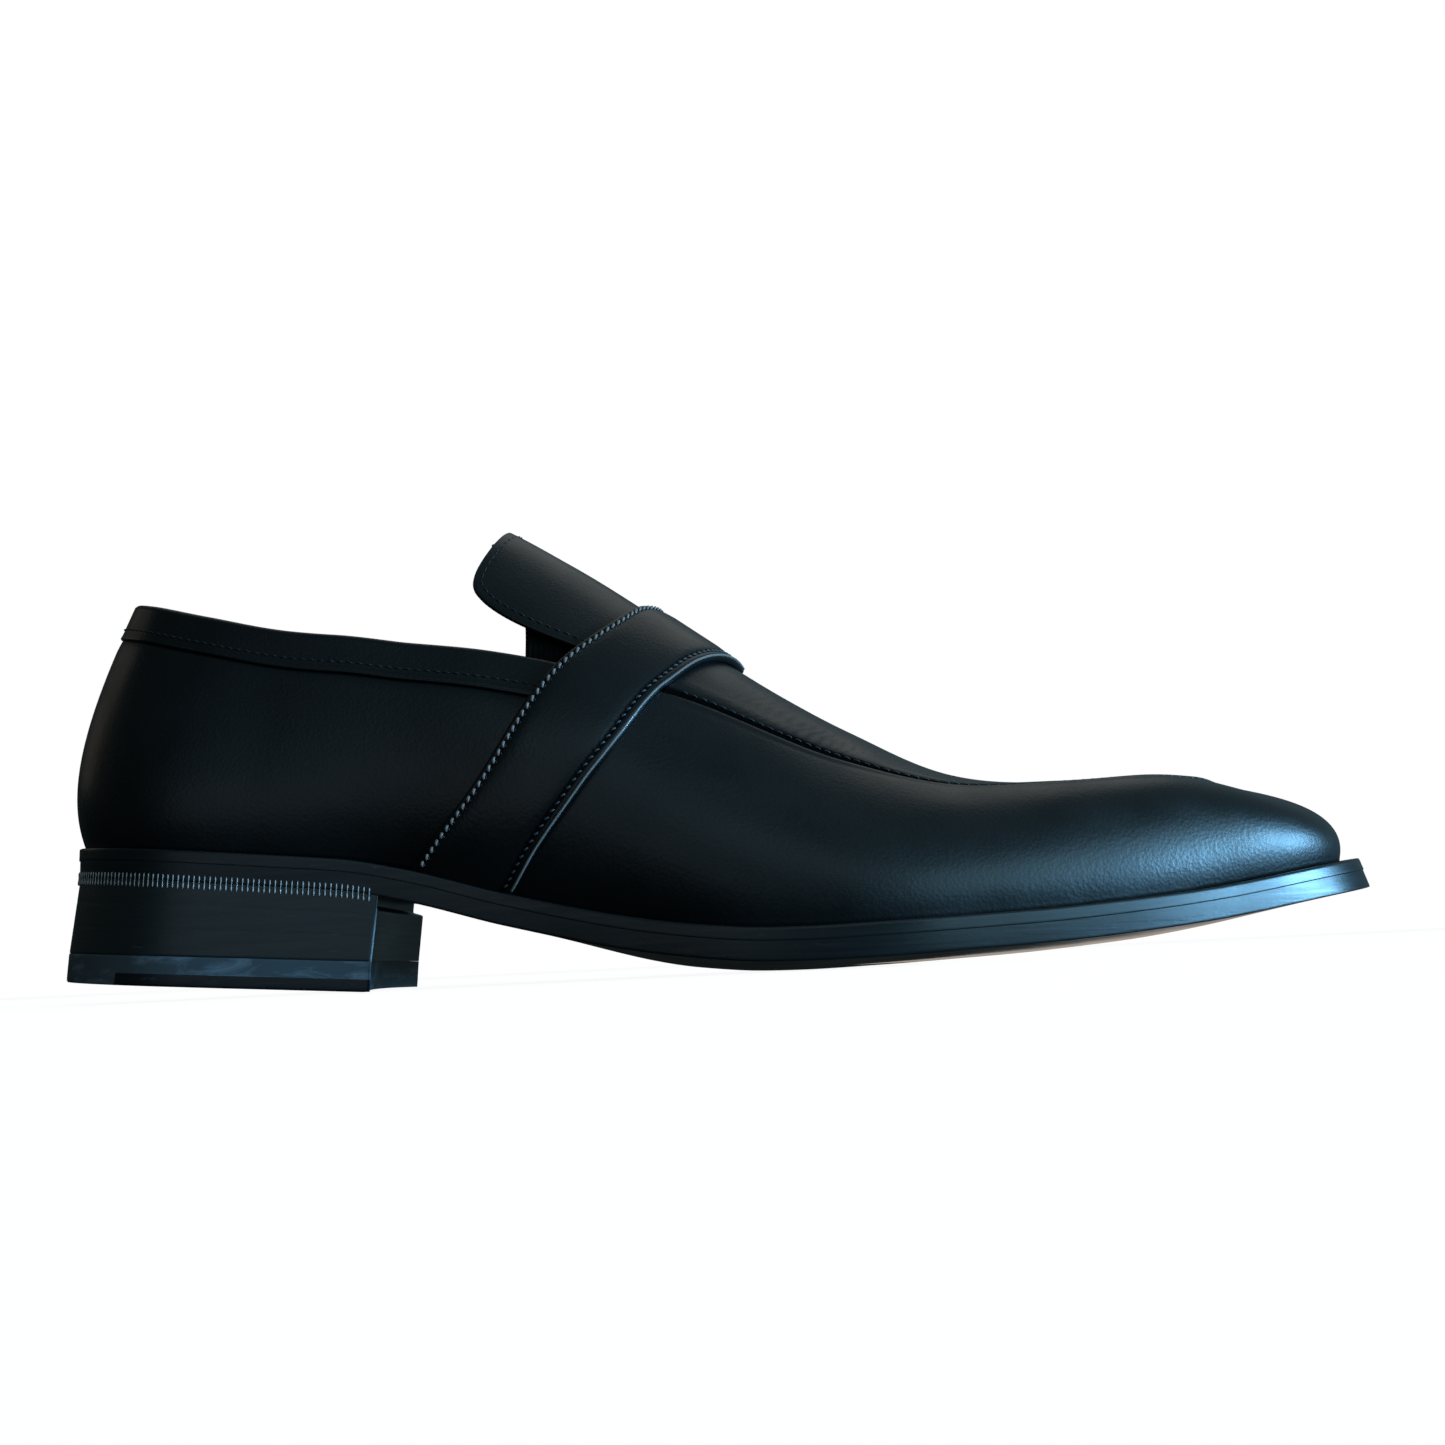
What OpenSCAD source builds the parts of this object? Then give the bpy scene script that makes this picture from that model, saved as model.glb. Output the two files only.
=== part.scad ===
// Slip-on leather shoe with a moccasin apron, a saddle strap and a stacked leather heel (right shoe).
// +X points to the toe, +Y to the inner (medial) side, +Z up. The floor is z = 0.

/* [Overall] */
// Length of the sole from heel back to toe tip
shoe_l = 307; // [280:0.1:370]
// Width of the sole across the ball
ball_w = 106; // [96:0.1:128]
// Height of the upper above the sole at the heel back
upper_h = 61.5; // [56:0.5:68]

/* [Sole] */
// Height that the heel seat stands above the sole at the ball
heel_rise = 27.2; // [22:0.1:34]
// Height that the toe tip springs up above the ball
toe_spring = 11.3; // [8:0.1:15]
// Thickness of the leather outsole at its edge
outsole_t = 4.4; // [3.5:0.1:6]
// Thickness of the welt
welt_t = 2.4; // [1.8:0.1:3.2]
// Width of welt that shows outside the upper round the toe and ball
welt_show = 5.5; // [3.5:0.1:7]
// Slant of the sole's edge at the toe tip: its lower corner stands this much further forward
toe_lean = 2.2; // [0:0.1:3]
// Width of sole edge that shows outside the upper at the heel
heel_show = 1.3; // [0.8:0.1:2.5]
// Height that the edge of the sole stands above its middle at the ball
sole_crown = 2.1; // [1:0.1:3]
// Thickness of the insole
insole_t = 2.4; // [1.5:0.1:3.5]
// Thickness of the sock lining that the foot rests on
sock_t = 1.1; // [0.8:0.1:2]
// Thickness of the foam heel pad
pad_t = 2.6; // [1.5:0.1:4]
// Thickness of the steel shank
shank_t = 1.2; // [0.8:0.1:1.6]
// Width of the steel shank
shank_w = 14; // [10:1:18]

/* [Heel] */
// Distance from the middle of the shoe to the front corner of the heel
heel_front = 76; // [70:1:84]
// Depth of the hollow in the front face of the heel
breast_hollow = 5; // [2:0.5:7]
// Angle of the heel's front across the shoe: the outer corner stands further forward
breast_skew = 3.3; // [0:0.1:5]
// Angle of the worn face of the heel to the floor
heel_pitch = 4.2; // [2:0.1:5]
// Thickness of one leather lift
lift_t = 4.9; // [4:0.01:6]
// Thickness of the top piece that meets the floor
top_piece_t = 6.6; // [5:0.1:8]
// Thickness of the leather let into the front of the top piece
tread_leather_t = 2.7; // [2:0.1:4]
// Amount that the heel grows outwards at each lift
heel_flare = 0.1; // [0:0.05:0.6]
// Length of the rubber quarter tip at the heel back
rubber_l = 20; // [14:1:30]
// Diameter of the brass heel nails
nail_d = 1.8; // [1.2:0.1:2.4]

/* [Upper] */
// Thickness of the outer leather
leather_t = 1.3; // [1:0.1:1.6]
// Thickness of the stiffeners between leather and lining
stiffener_t = 1.0; // [0.7:0.1:1.3]
// Thickness of the lining leather
lining_t = 0.9; // [0.7:0.1:1.2]
// Depth of the collar band below the topline
collar_h = 9.5; // [7:0.5:13]
// Thickness of the saddle strap
strap_t = 1.2; // [0.9:0.1:1.6]
// Thickness of the leather that backs the strap
strap_lining_t = 0.7; // [0.5:0.1:1]
// Room between layers that lie on each other
layer_gap = 0.25; // [0.2:0.05:0.4]
// Room between the strap and what it lies on
strap_gap = 0.45; // [0.35:0.05:0.7]

/* [Hidden] */

black_leather = [0.055, 0.06, 0.062];
edge_black = [0.035, 0.037, 0.045];
tan_leather = [0.55, 0.38, 0.24];
lining_tan = [0.72, 0.58, 0.42];

// The ribs of the last: each curve has one value at every rib, from the heel back (rib 0)
// to the toe tip (rib 14)
ribs = 14;
// Length and width of the last for which the ribs are given
rib_l = 307;
rib_w = 106;
// The ribs are measured from a point this far behind the middle of the shoe
mid_x = 2.5;
// Line where the upper meets the sole: x, outer half width, inner half width
FEATHER = [[-153.5, 0, 0], [-147, 17, 17], [-129, 28.5, 28.5], [-103, 31.5, 31], [-76, 31.5, 29.5],
           [-49, 33, 26], [-22, 38.5, 28], [4, 45, 35.5], [30, 47.5, 43.5], [56, 43.5, 47],
           [82, 36.5, 42], [107, 28, 33.5], [128, 20, 26], [141, 11, 17], [146, -2.5, 2.5]];
// Upper edge of the side walls, topline then apron seam: x, outer half width, inner half width, height
BRIM = [[-143.5, 0, 0, 61.5], [-134.5, 14, 14, 59], [-119, 21.5, 21.5, 55.5], [-98, 26.5, 26, 52],
        [-73, 30, 28, 51.5], [-50, 33, 30, 54], [-27, 34, 31, 53.5], [-2.5, 32.5, 31, 48.5],
        [25, 30.5, 30.5, 37], [50, 28.5, 29.5, 29.6], [75, 25, 27, 28.3], [97, 19.5, 22, 27.5],
        [110, 13.5, 17, 25.3], [117, 6.5, 9.5, 23.6], [119, -1.5, 1.5, 23.4]];
// Roundness of the walls: how far the two handles of each rib's curve stand out and up from its ends
SWELL = [[6, 16.5, 10, 24], [6, 16, 8, 23], [5.5, 15, 5, 22], [5, 14, 4, 22], [6.5, 14, 5, 20],
         [9, 13, 7, 18], [8, 13, 9, 15], [5, 12, 9.5, 12], [3.5, 12, 11, 10], [3, 11, 12, 5.5],
         [3, 10, 11, 3], [3, 10, 11, 2.5], [3.5, 10, 13, 3.5], [3.5, 10.5, 13.8, 4.4], [3.5, 11, 17.2, 3.4]];
// Crown of the instep and apron between the two brims: how far its middle stands forward and up
CROWN = [[16, 36], [16, 36], [16, 36], [16, 38], [16, 35.5], [14.5, 27], [12, 18.7], [8.5, 12.4], [5, 9.6],
         [2.5, 4.8], [1, 1.3], [0.5, 1.4], [0, 2.1], [0, 1.3], [0, 0]];
// Side line of the sole: x, share of the heel rise, share of the toe spring
RISE = [[-88, 0.744, 0], [-70, 0.612, 0], [-49, 0.386, 0], [-22, 0.147, 0], [0, 0.026, 0], [15, 0, 0],
        [32, 0, 0.018], [50, 0, 0.062], [73, 0, 0.15], [105, 0, 0.39], [135, 0, 0.77], [154, 0, 1]];
// Power of the arch across the instep: 2 is a parabola, more is flatter on top
arch_power = 2.4;
// Back end of the seat, where the whole heel rise is reached, and its fall per millimetre
seat_back = -155;
seat_fall = (1 - RISE[0][1]) / (RISE[0].x - seat_back);
// Strap edges from sole to instep middle: place across (0 feather, 1 brim, 1.5 middle), rear rib, front rib
STRAP = [[0, 4.23, 5.05], [0.25, 4.53, 5.37], [0.5, 4.9, 5.81], [0.75, 5.27, 6.27], [1, 5.64, 6.58],
         [1.13, 5.8, 6.67], [1.25, 5.86, 6.77], [1.38, 5.94, 6.88], [1.5, 5.98, 6.96]];
// Side edges of the tongue: rib, shares of the instep half width on the outer and inner side
TONGUE = [[4.33, 0.5, 0.4], [4.335, 0.62, 0.49], [4.35, 0.7, 0.54], [4.4, 0.76, 0.6], [4.52, 0.8, 0.66],
          [4.7, 0.832, 0.73], [4.95, 0.86, 0.81], [5.3, 0.884, 0.86], [5.7, 0.9, 0.9], [6.2, 0.93, 0.93]];

kx = shoe_l / rib_l;
ky = ball_w / rib_w;
kz = upper_h / BRIM[0][3];
sole_t = outsole_t + welt_t + layer_gap;
edge_low = sole_crown + sole_t;
heel_x = -heel_front * kx;
seat_angle = atan(heel_rise * seat_fall / kx);
// Clearance between a nail and its hole
nail_gap = 0.1;
// Rows and columns of the leather grids
wall_rows = 7;
crown_cols = 10;
rib_steps = 3;

function lerp(a, b, t) = a + (b - a) * t;
function unit(v) = v / norm(v);
// Evenly spaced places between two ribs
function spread(from, to) = let (n = ceil((to - from) * rib_steps)) [for (i = [0:n]) lerp(from, to, i / n)];
function smooth(t) = let (s = min(1, max(0, t))) s * s * (3 - 2 * s);
function slope(p, i, k) =
    let (a = max(0, i - 1), b = min(len(p) - 1, i + 1)) (p[b][k] - p[a][k]) / (p[b][0] - p[a][0]);
function span(p, x, i = 0) = i >= len(p) - 2 || x < p[i + 1][0] ? i : span(p, x, i + 1);
// Smooth value of column k of a list of points at x, by cubic pieces
function along(p, x, k, first = undef) =
    let (i = span(p, x), w = p[i + 1][0] - p[i][0], t = min(1, max(0, (x - p[i][0]) / w)),
         m0 = (i == 0 && !is_undef(first) ? first : slope(p, i, k)) * w, m1 = slope(p, i + 1, k) * w,
         a = p[i][k], b = p[i + 1][k])
    a * (1 + 2 * t) * pow(1 - t, 2) + m0 * t * pow(1 - t, 2) + b * t * t * (3 - 2 * t) + m1 * t * t * (t - 1);
// Value of a rib list at a place between ribs. Negative places are on the inner side
function rib(p, i) = let (n = 2 * ribs, j = (i % n + n) % n) j > ribs ? p[n - j] : p[j];
function inner_side(i) = let (n = 2 * ribs, j = (i % n + n) % n) j > ribs;
function bend(a, b, c, d, t) =
    0.5 * (2 * b + (c - a) * t + (2 * a - 5 * b + 4 * c - d) * t * t + (3 * b - a - 3 * c + d) * t * t * t);
function plan(p, i) = let (r = rib(p, i)) [r[0], inner_side(i) ? r[2] : -r[1]];
function plan_at(p, u) =
    let (i = floor(u), q = bend(plan(p, i - 1), plan(p, i), plan(p, i + 1), plan(p, i + 2), u - i))
    [(q.x + mid_x) * kx, q.y * ky];
function value_at(p, u) =
    let (i = floor(u)) bend(rib(p, i - 1), rib(p, i), rib(p, i + 1), rib(p, i + 2), u - i);

// Height of the top of the sole's edge
function sole_top(x) =
    let (r = x / kx - mid_x)
    edge_low + (r < RISE[0].x ? heel_rise * (RISE[0][1] + (RISE[0].x - r) * seat_fall)
                              : heel_rise * along(RISE, r, 1, -seat_fall) + toe_spring * along(RISE, r, 2));
function feather(u) = let (p = plan_at(FEATHER, u)) [p.x, p.y, sole_top(p.x) + layer_gap];
function outward(u) = let (t = plan_at(FEATHER, u + 0.02) - plan_at(FEATHER, u - 0.02)) unit([t.y, -t.x, 0]);
function brim(u) = let (p = plan_at(BRIM, u)) [p.x, p.y, sole_top(p.x) + value_at(BRIM, u)[3] * kz];
// Side wall of the upper: at each rib a cubic curve from the feather line (v = 0) to the brim (v = 1)
function wall(u, v) =
    let (a = feather(u), d = brim(u), s = value_at(SWELL, u), o = outward(u),
         b = a + o * s[0] + [0, 0, s[1] * kz], c = d + o * s[2] - [0, 0, s[3] * kz])
    a * pow(1 - v, 3) + 3 * b * v * pow(1 - v, 2) + 3 * c * v * v * (1 - v) + d * pow(v, 3);
// Instep and apron: an arch from the outer brim (w = -1) to the inner brim (w = 1)
function crown(u, w) =
    let (a = brim(u), b = brim(-u), c = value_at(CROWN, u), arch = 1 - pow(abs(w), arch_power))
    lerp(a, b, (w + 1) / 2) + [c[0] * kx, 0, c[1] * kz] * arch;
// Points of both surfaces moved out along their normals
function wall_off(u, v, d) =
    let (e = 0.01, s = v > 0.5 ? -e : e,
         n = cross(wall(u + e, v) - wall(u - e, v), (wall(u, v + s) - wall(u, v)) / s))
    wall(u, v) + unit(n) * d;
function crown_off(u, w, d) =
    let (e = 0.01, n = cross(crown(u + e, w) - crown(u - e, w), crown(u, w + e) - crown(u, w - e)))
    crown(u, w) + unit(n) * d;
// The whole way across the shoe: 0 to 1 outer wall, 1 to 2 instep, 2 to 3 inner wall
function across(u, q, d) =
    q < 1 ? wall_off(u, q, d) : q > 2 ? wall_off(-u, 3 - q, d) : crown_off(u, 2 * q - 3, d);
// Rear (k = 1), front (k = 2) edge and middle of the strap at a place across
function strap_edge(q, k) = along(STRAP, q > 1.5 ? 3 - q : q, k);
function strap_mid(q) = (strap_edge(q, 1) + strap_edge(q, 2)) / 2;
// Share of the wall's height at which the collar band starts
function collar_v(u) = let (s = value_at(SWELL, u)) 1 - collar_h / (3 * norm([s[2], s[3] * kz]));

// Point of the sole's outline, moved out from the feather line
function place(u) = abs((u + ribs * 3) % (2 * ribs) - ribs);
function show(u) = lerp(heel_show, welt_show, smooth((place(u) - 3) / 4));
// How far the slanted edge at the toe stands out at a share of the sole's thickness from the ground up
function lean(u, h) = toe_lean * (0.36 - h) * smooth((place(u) - 11.5) / 2.5);
function outline(u, extra = 0) = let (p = plan_at(FEATHER, u), o = outward(u)) p + [o.x, o.y] * extra;
function edge(u, extra = 0) = outline(u, show(u) + extra);

// Closed solid between two grids of points with the same rows and columns
module between(outer, inner) {
    rows = len(outer);
    cols = len(outer[0]);
    n = rows * cols;
    o = function(i, j) i * cols + j;
    quad = function(a, b, c, d) [[a, b, c], [a, c, d]];
    faces = [
        for (i = [0:rows - 2], j = [0:cols - 2])
            each quad(o(i, j), o(i, j + 1), o(i + 1, j + 1), o(i + 1, j)),
        for (i = [0:rows - 2], j = [0:cols - 2])
            each quad(n + o(i, j), n + o(i + 1, j), n + o(i + 1, j + 1), n + o(i, j + 1)),
        for (i = [0:rows - 2]) each quad(o(i, 0), o(i + 1, 0), n + o(i + 1, 0), n + o(i, 0)),
        for (i = [0:rows - 2])
            each quad(o(i + 1, cols - 1), o(i, cols - 1), n + o(i, cols - 1), n + o(i + 1, cols - 1)),
        for (j = [0:cols - 2]) each quad(o(0, j + 1), o(0, j), n + o(0, j), n + o(0, j + 1)),
        for (j = [0:cols - 2])
            each quad(o(rows - 1, j), o(rows - 1, j + 1), n + o(rows - 1, j + 1), n + o(rows - 1, j))
    ];
    polyhedron([for (g = [outer, inner], row = g) each row], faces);
}

// Layer of the back of the upper. Places along run from -1 at the inner strap to 1 at the outer strap,
// heights from 0 at the sole to 1 at the collar seam and 2 at the topline
function quarter_point(a, h, d) =
    let (w0 = a * strap_mid(min(1, h)), c = collar_v(w0), v = h > 1 ? lerp(c, 1, h - 1) : h * c,
         u = a * (strap_mid(v) - seam_gap)) wall_off(u, v, d);
module quarter_layer(from, to, low, high, out, in, steps = quarter_steps) {
    grid = function(d) [for (i = [round(from * steps):round(to * steps)]) [for (h = heights(low, high))
        quarter_point(i / steps, h, d)]];
    between(grid(out), grid(in));
}
quarter_steps = 16;
seam_gap = 0.02;
function heights(low, high) = [for (h = [0:1 / wall_rows:1]) if (h >= low - 0.001 && h <= high + 0.001) h,
                               for (h = [1.04, 1.5, 2]) if (h >= low && h <= high) h];

// Layer of the front wall round the toe, from -1 at the outer strap to 1 at the inner strap
vamp_steps = 26;
function vamp_point(a, v, d) =
    let (u = lerp(ribs, strap_mid(v) + seam_gap, abs(a))) wall_off(a < 0 ? u : 2 * ribs - u, v, d);
module vamp_layer(reach, high, out, in) {
    n = round(reach * vamp_steps);
    grid = function(d) [for (i = [-n:n]) [for (j = [0:wall_rows]) if (j / wall_rows <= high + 0.001)
        vamp_point(i / vamp_steps, j / wall_rows, d)]];
    between(grid(out), grid(in));
}

// Layer of the crown between two ribs, each rib given by its place and the half width that it covers
module crown_layer(rows, out, in, cols = crown_cols) {
    grid = function(d) [for (r = rows) [for (j = [0:cols])
        let (w = r[1] * (2 * j / cols - 1)) crown_off(r[0], w, d)]];
    between(grid(out), grid(in));
}

// Plate that fills an outline between two ribs: its upper and lower heights are functions of x and the
// share of the half width
module plate(from, to, extra, top, bottom, full = false, cols = 6) {
    rows = spread(from, to);
    side = function(u, h) full ? edge(u, lean(u, h)) : outline(u, extra);
    grid = function(z, h) [for (u = rows) [for (j = [0:cols])
        let (w = 2 * j / cols - 1, p = lerp(side(u, h), side(-u, h), (w + 1) / 2)) [p.x, p.y, z(p.x, w)]]];
    between(grid(top, outsole_t / sole_t), grid(bottom, 0));
}
tip_rib = ribs - 0.1;
back_rib = 0.1;
// Rib at the front of the heel
heel_rib = 3.9;

lining_out = -leather_t - stiffener_t - 2 * layer_gap;
lining_in = lining_out - lining_t;
// Room between the foot side of the upper and the pieces on the insole
inner_edge = lining_in - 0.6;

// Heel: lifts lie parallel to the seat, the top piece parallel to the floor contact
module heel_shape(extra) {
    difference() {
        polygon([for (i = [-ribs * 3:ribs * 3]) let (p = edge(i / 3, extra)) [p.x - heel_x, p.y]]);
        breast_r = (pow(ball_w / 3, 2) + pow(breast_hollow, 2)) / (2 * breast_hollow);
        rotate([0, 0, breast_skew]) {
            translate([breast_r - breast_hollow, 0]) circle(r = breast_r, $fn = 96);
            translate([0, -ball_w]) square([2 * shoe_l, 2 * ball_w]);
        }
    }
}
heel_top = sole_top(heel_x) - sole_t - layer_gap;
module in_seat() translate([heel_x, 0, heel_top]) rotate([0, seat_angle, 0]) children();
// The face of the heel runs down square to the seat, so that it leans back
tread_x = heel_x - heel_top * sin(seat_angle);
module in_tread() translate([tread_x, 0, 0]) rotate([0, heel_pitch, 0]) children();
tread_l = heel_x - edge(0).x;
module nail_places() {
    for (a = [-50:25:50]) translate([-tread_l + 33 - 24 * cos(a), 24 * sin(a), 0]) children();
    for (y = [-18, -6, 6, 18]) translate([-breast_hollow - 9, y, 0]) children();
}
module top_piece(t) linear_extrude(t) heel_shape(3.2 * heel_flare);
module nail_holes() nail_places() translate([0, 0, -1])
    cylinder(d = nail_d + 2 * nail_gap, h = nail_l + 1 + nail_gap, $fn = 24);
// Block over the front of the tread, where the leather lies under the rubber
module tread_front(gap) translate([-tread_l + rubber_l - gap, -ball_w, -1])
    cube([shoe_l, 2 * ball_w, 1 + tread_leather_t + gap]);

module rubber_heel_tip() color([0.05, 0.05, 0.055]) in_tread() difference() {
    top_piece(top_piece_t);
    tread_front(layer_gap);
    nail_holes();
}
module leather_top_piece() color(edge_black) in_tread() difference() {
    intersection() {
        top_piece(tread_leather_t);
        tread_front(0);
    }
    nail_holes();
}
nail_l = 5;
module heel_nails() color([0.75, 0.6, 0.3]) in_tread() nail_places()
    cylinder(d = nail_d, h = nail_l, $fn = 24);
module heel_wedge() color(edge_black) difference() {
    in_seat() translate([0, 0, -2 * lift_t - 30]) linear_extrude(30 - layer_gap / 2) heel_shape(3 * heel_flare);
    in_tread() translate([-2 * shoe_l, -ball_w, -60])
        cube([3 * shoe_l, 2 * ball_w, 60 + top_piece_t + layer_gap / 2]);
}
module heel_lift_lower() color(edge_black) in_seat() translate([0, 0, -2 * lift_t])
    linear_extrude(lift_t - layer_gap / 2) heel_shape(2 * heel_flare);
// The upper lift is pared on top to fit the hollow of the waist
module heel_lift_upper() color(edge_black) difference() {
    in_seat() translate([0, 0, -lift_t]) linear_extrude(lift_t + 2) heel_shape(heel_flare);
    plate(-0.1, heel_rib + 1.2, welt_show + 4,
        function(x, w) sole_top(x) + 6, function(x, w) sole_top(x) - sole_t - layer_gap);
}

// The ball of the outsole is rounded underneath, the waist and seat are flat across
function tread_crown(x) = sole_crown * smooth((x / kx + 45) / 40) * smooth((152 - x / kx) / 60);
module outsole() color(tan_leather) plate(back_rib, tip_rib, 0,
    function(x, w) sole_top(x) - welt_t - layer_gap,
    function(x, w) sole_top(x) - sole_t - tread_crown(x) * (1 - w * w), full = true, cols = 8);

// Strip of the sole's edge between two ribs, as deep as given inwards from the feather line
edge_depth = 6;
module edge_strip(from, to, top, bottom) {
    rows = spread(from, to);
    grid = function(t) [for (u = rows) [for (e = [edge(u, lean(u, 1 - t / sole_t)), outline(u, -edge_depth)])
        [e.x, e.y, sole_top(e.x) - t]]];
    between(grid(top), grid(bottom));
}
module heel_rand() color(edge_black) edge_strip(-heel_rib, heel_rib, 0, welt_t);
module welt() color(edge_black) edge_strip(heel_rib + 0.03, 2 * ribs - heel_rib - 0.03, 0, welt_t);

filler_low = function(x, w) sole_top(x) - welt_t + layer_gap / 2;
filler_high = function(x, w) sole_top(x) - layer_gap / 2;
module cork_filler() color([0.62, 0.45, 0.28])
    plate(6.2, 13.4, -edge_depth - 0.5, filler_high, filler_low, cols = 4);
shank_from = -98;
shank_to = -22;
module steel_shank() color([0.6, 0.62, 0.64]) {
    rows = [for (i = [0:10]) (lerp(shank_from, shank_to, i / 10) + mid_x) * kx];
    grid = function(t) [for (x = rows) [for (y = [-shank_w / 2, shank_w / 2])
        [x, y, sole_top(x) - layer_gap / 2 - t]]];
    between(grid(0), grid(shank_t));
}
insole_low = function(x, w) sole_top(x) + layer_gap;
insole_high = function(x, w) sole_top(x) + layer_gap + insole_t;
module insole() color(tan_leather) plate(0.3, 13.6, inner_edge, insole_high, insole_low, cols = 4);
pad_low = function(x, w) insole_high(x, w) + layer_gap;
// The pad is full at the heel and runs out under the arch
pad_ends = [-92, -60];
function pad_rise(x) = pad_t * (1 - smooth((x / kx - mid_x - pad_ends[0]) / (pad_ends[1] - pad_ends[0])));
module heel_pad() color([0.85, 0.8, 0.6])
    plate(0.4, 4.3, inner_edge - 2, function(x, w) pad_low(x, w) + pad_rise(x) + 0.3, pad_low, cols = 4);
sock_low = function(x, w) pad_low(x, w) + pad_rise(x) + 0.3 + layer_gap;
module sock_lining() color(lining_tan)
    plate(0.3, 13.5, inner_edge - 0.4, function(x, w) sock_low(x, w) + sock_t, sock_low, cols = 4);

module lateral_quarter() color(black_leather) quarter_layer(0.002, 1, 0, 1, 0, -leather_t);
module medial_quarter() color(black_leather) quarter_layer(-1, -0.002, 0, 1, 0, -leather_t);
module top_collar() color(black_leather) quarter_layer(-1, 1, 1.04, 2, 0, -leather_t);
module heel_counter() color([0.5, 0.42, 0.32])
    quarter_layer(-0.625, 0.625, 0, 0.75, -leather_t - layer_gap, -leather_t - layer_gap - stiffener_t);
module quarter_lining() color(lining_tan) quarter_layer(-1, 1, 0, 2, lining_out, lining_in);

module vamp() color(black_leather) vamp_layer(1, 1, 0, -leather_t);
module toe_puff() color([0.5, 0.42, 0.32])
    vamp_layer(0.4, 0.75, -leather_t - layer_gap, -leather_t - layer_gap - stiffener_t);
module vamp_lining() color(lining_tan) vamp_layer(1, 0.96, lining_out, lining_in);
apron_w = 0.98;
apron_rows = [for (i = [0:22]) [lerp(6.5, ribs - 0.25, i / 22), apron_w]];
module apron() color(black_leather) crown_layer(apron_rows, 0, -leather_t);
module apron_lining() color(lining_tan)
    crown_layer([for (r = apron_rows) if (r[0] < 13) [r[0], 0.9]], lining_out, lining_in);

// Tongue: its free end turns at the rear edge of the strap, its base is held under the strap
tongue_gap = 0.05;
module tongue_flap() color(black_leather) flap(0, -leather_t, 1);
module tongue_lining() color(lining_tan)
    flap(-leather_t - 2 * layer_gap, -leather_t - 2 * layer_gap - lining_t, 0.94);
// The front edge of the free end follows the strap's rear edge
module flap(out, in, share) {
    grid = function(d) [for (i = [0:14]) let (t = pow(i / 14, 1.8)) [for (j = [0:crown_cols])
        let (s = 2 * j / crown_cols - 1, front = strap_edge(1.5 - abs(s) * 0.44, 1) - tongue_gap,
             u = lerp(TONGUE[0][0] + (1 - share) * 0.6, front, t),
             w = s * share * along(TONGUE, u, s < 0 ? 1 : 2))
        crown_off(u, w, d)]];
    between(grid(out), grid(in));
}
module tongue_base() color(black_leather) {
    grid = function(d) [for (i = [0:3]) [for (j = [0:crown_cols])
        let (s = 2 * j / crown_cols - 1, q = 1.5 - abs(s) * 0.44,
             u = lerp(strap_edge(q, 1) + tongue_gap, min(strap_mid(q), 6.45), i / 3))
        crown_off(u, s * 0.93, d)]];
    between(grid(0), grid(-leather_t));
}
gore_out = -leather_t - lining_t - 4 * layer_gap;
gore_t = 0.8;
module gore(side) {
    // The rear edge stands upright
    grid = function(d) [for (i = [0:5]) [for (j = [0:3])
        let (t = (side > 0 ? j : 3 - j) / 3, u = lerp(lerp(5.01, 5.24, t), 5.95, i / 5))
        crown_off(u, side * lerp(0.8, 0.965, t), d)]];
    between(grid(gore_out), grid(gore_out - gore_t));
}
module lateral_gore() color([0.04, 0.04, 0.045]) gore(-1);
module medial_gore() color([0.04, 0.04, 0.045]) gore(1);

strap_cols = 34;
// Place across at which the strap's ends stand clear of the welt
strap_foot = 0.05;
module strap_layer(out, in, share) {
    grid = function(d) [for (k = [0:3]) [for (j = [0:strap_cols])
        let (q = lerp(strap_foot, 3 - strap_foot, j / strap_cols), m = strap_mid(q),
             r = strap_edge(q, 1), f = strap_edge(q, 2),
             u = m + (lerp(r, f, k / 3) - m) * share) across(u, q, d)]];
    between(grid(out), grid(in));
}
module strap_lining() color(lining_tan) strap_layer(strap_gap + strap_lining_t, strap_gap, 0.94);
module saddle_strap() color(black_leather)
    strap_layer(strap_gap + strap_lining_t + layer_gap + strap_t, strap_gap + strap_lining_t + layer_gap, 1);

rubber_heel_tip();
leather_top_piece();
heel_nails();
heel_wedge();
heel_lift_lower();
heel_lift_upper();
outsole();
heel_rand();
welt();
cork_filler();
steel_shank();
insole();
heel_pad();
sock_lining();
lateral_quarter();
medial_quarter();
top_collar();
heel_counter();
quarter_lining();
vamp();
apron();
toe_puff();
vamp_lining();
apron_lining();
tongue_base();
tongue_flap();
tongue_lining();
lateral_gore();
medial_gore();
strap_lining();
saddle_strap();
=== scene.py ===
import math

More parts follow.
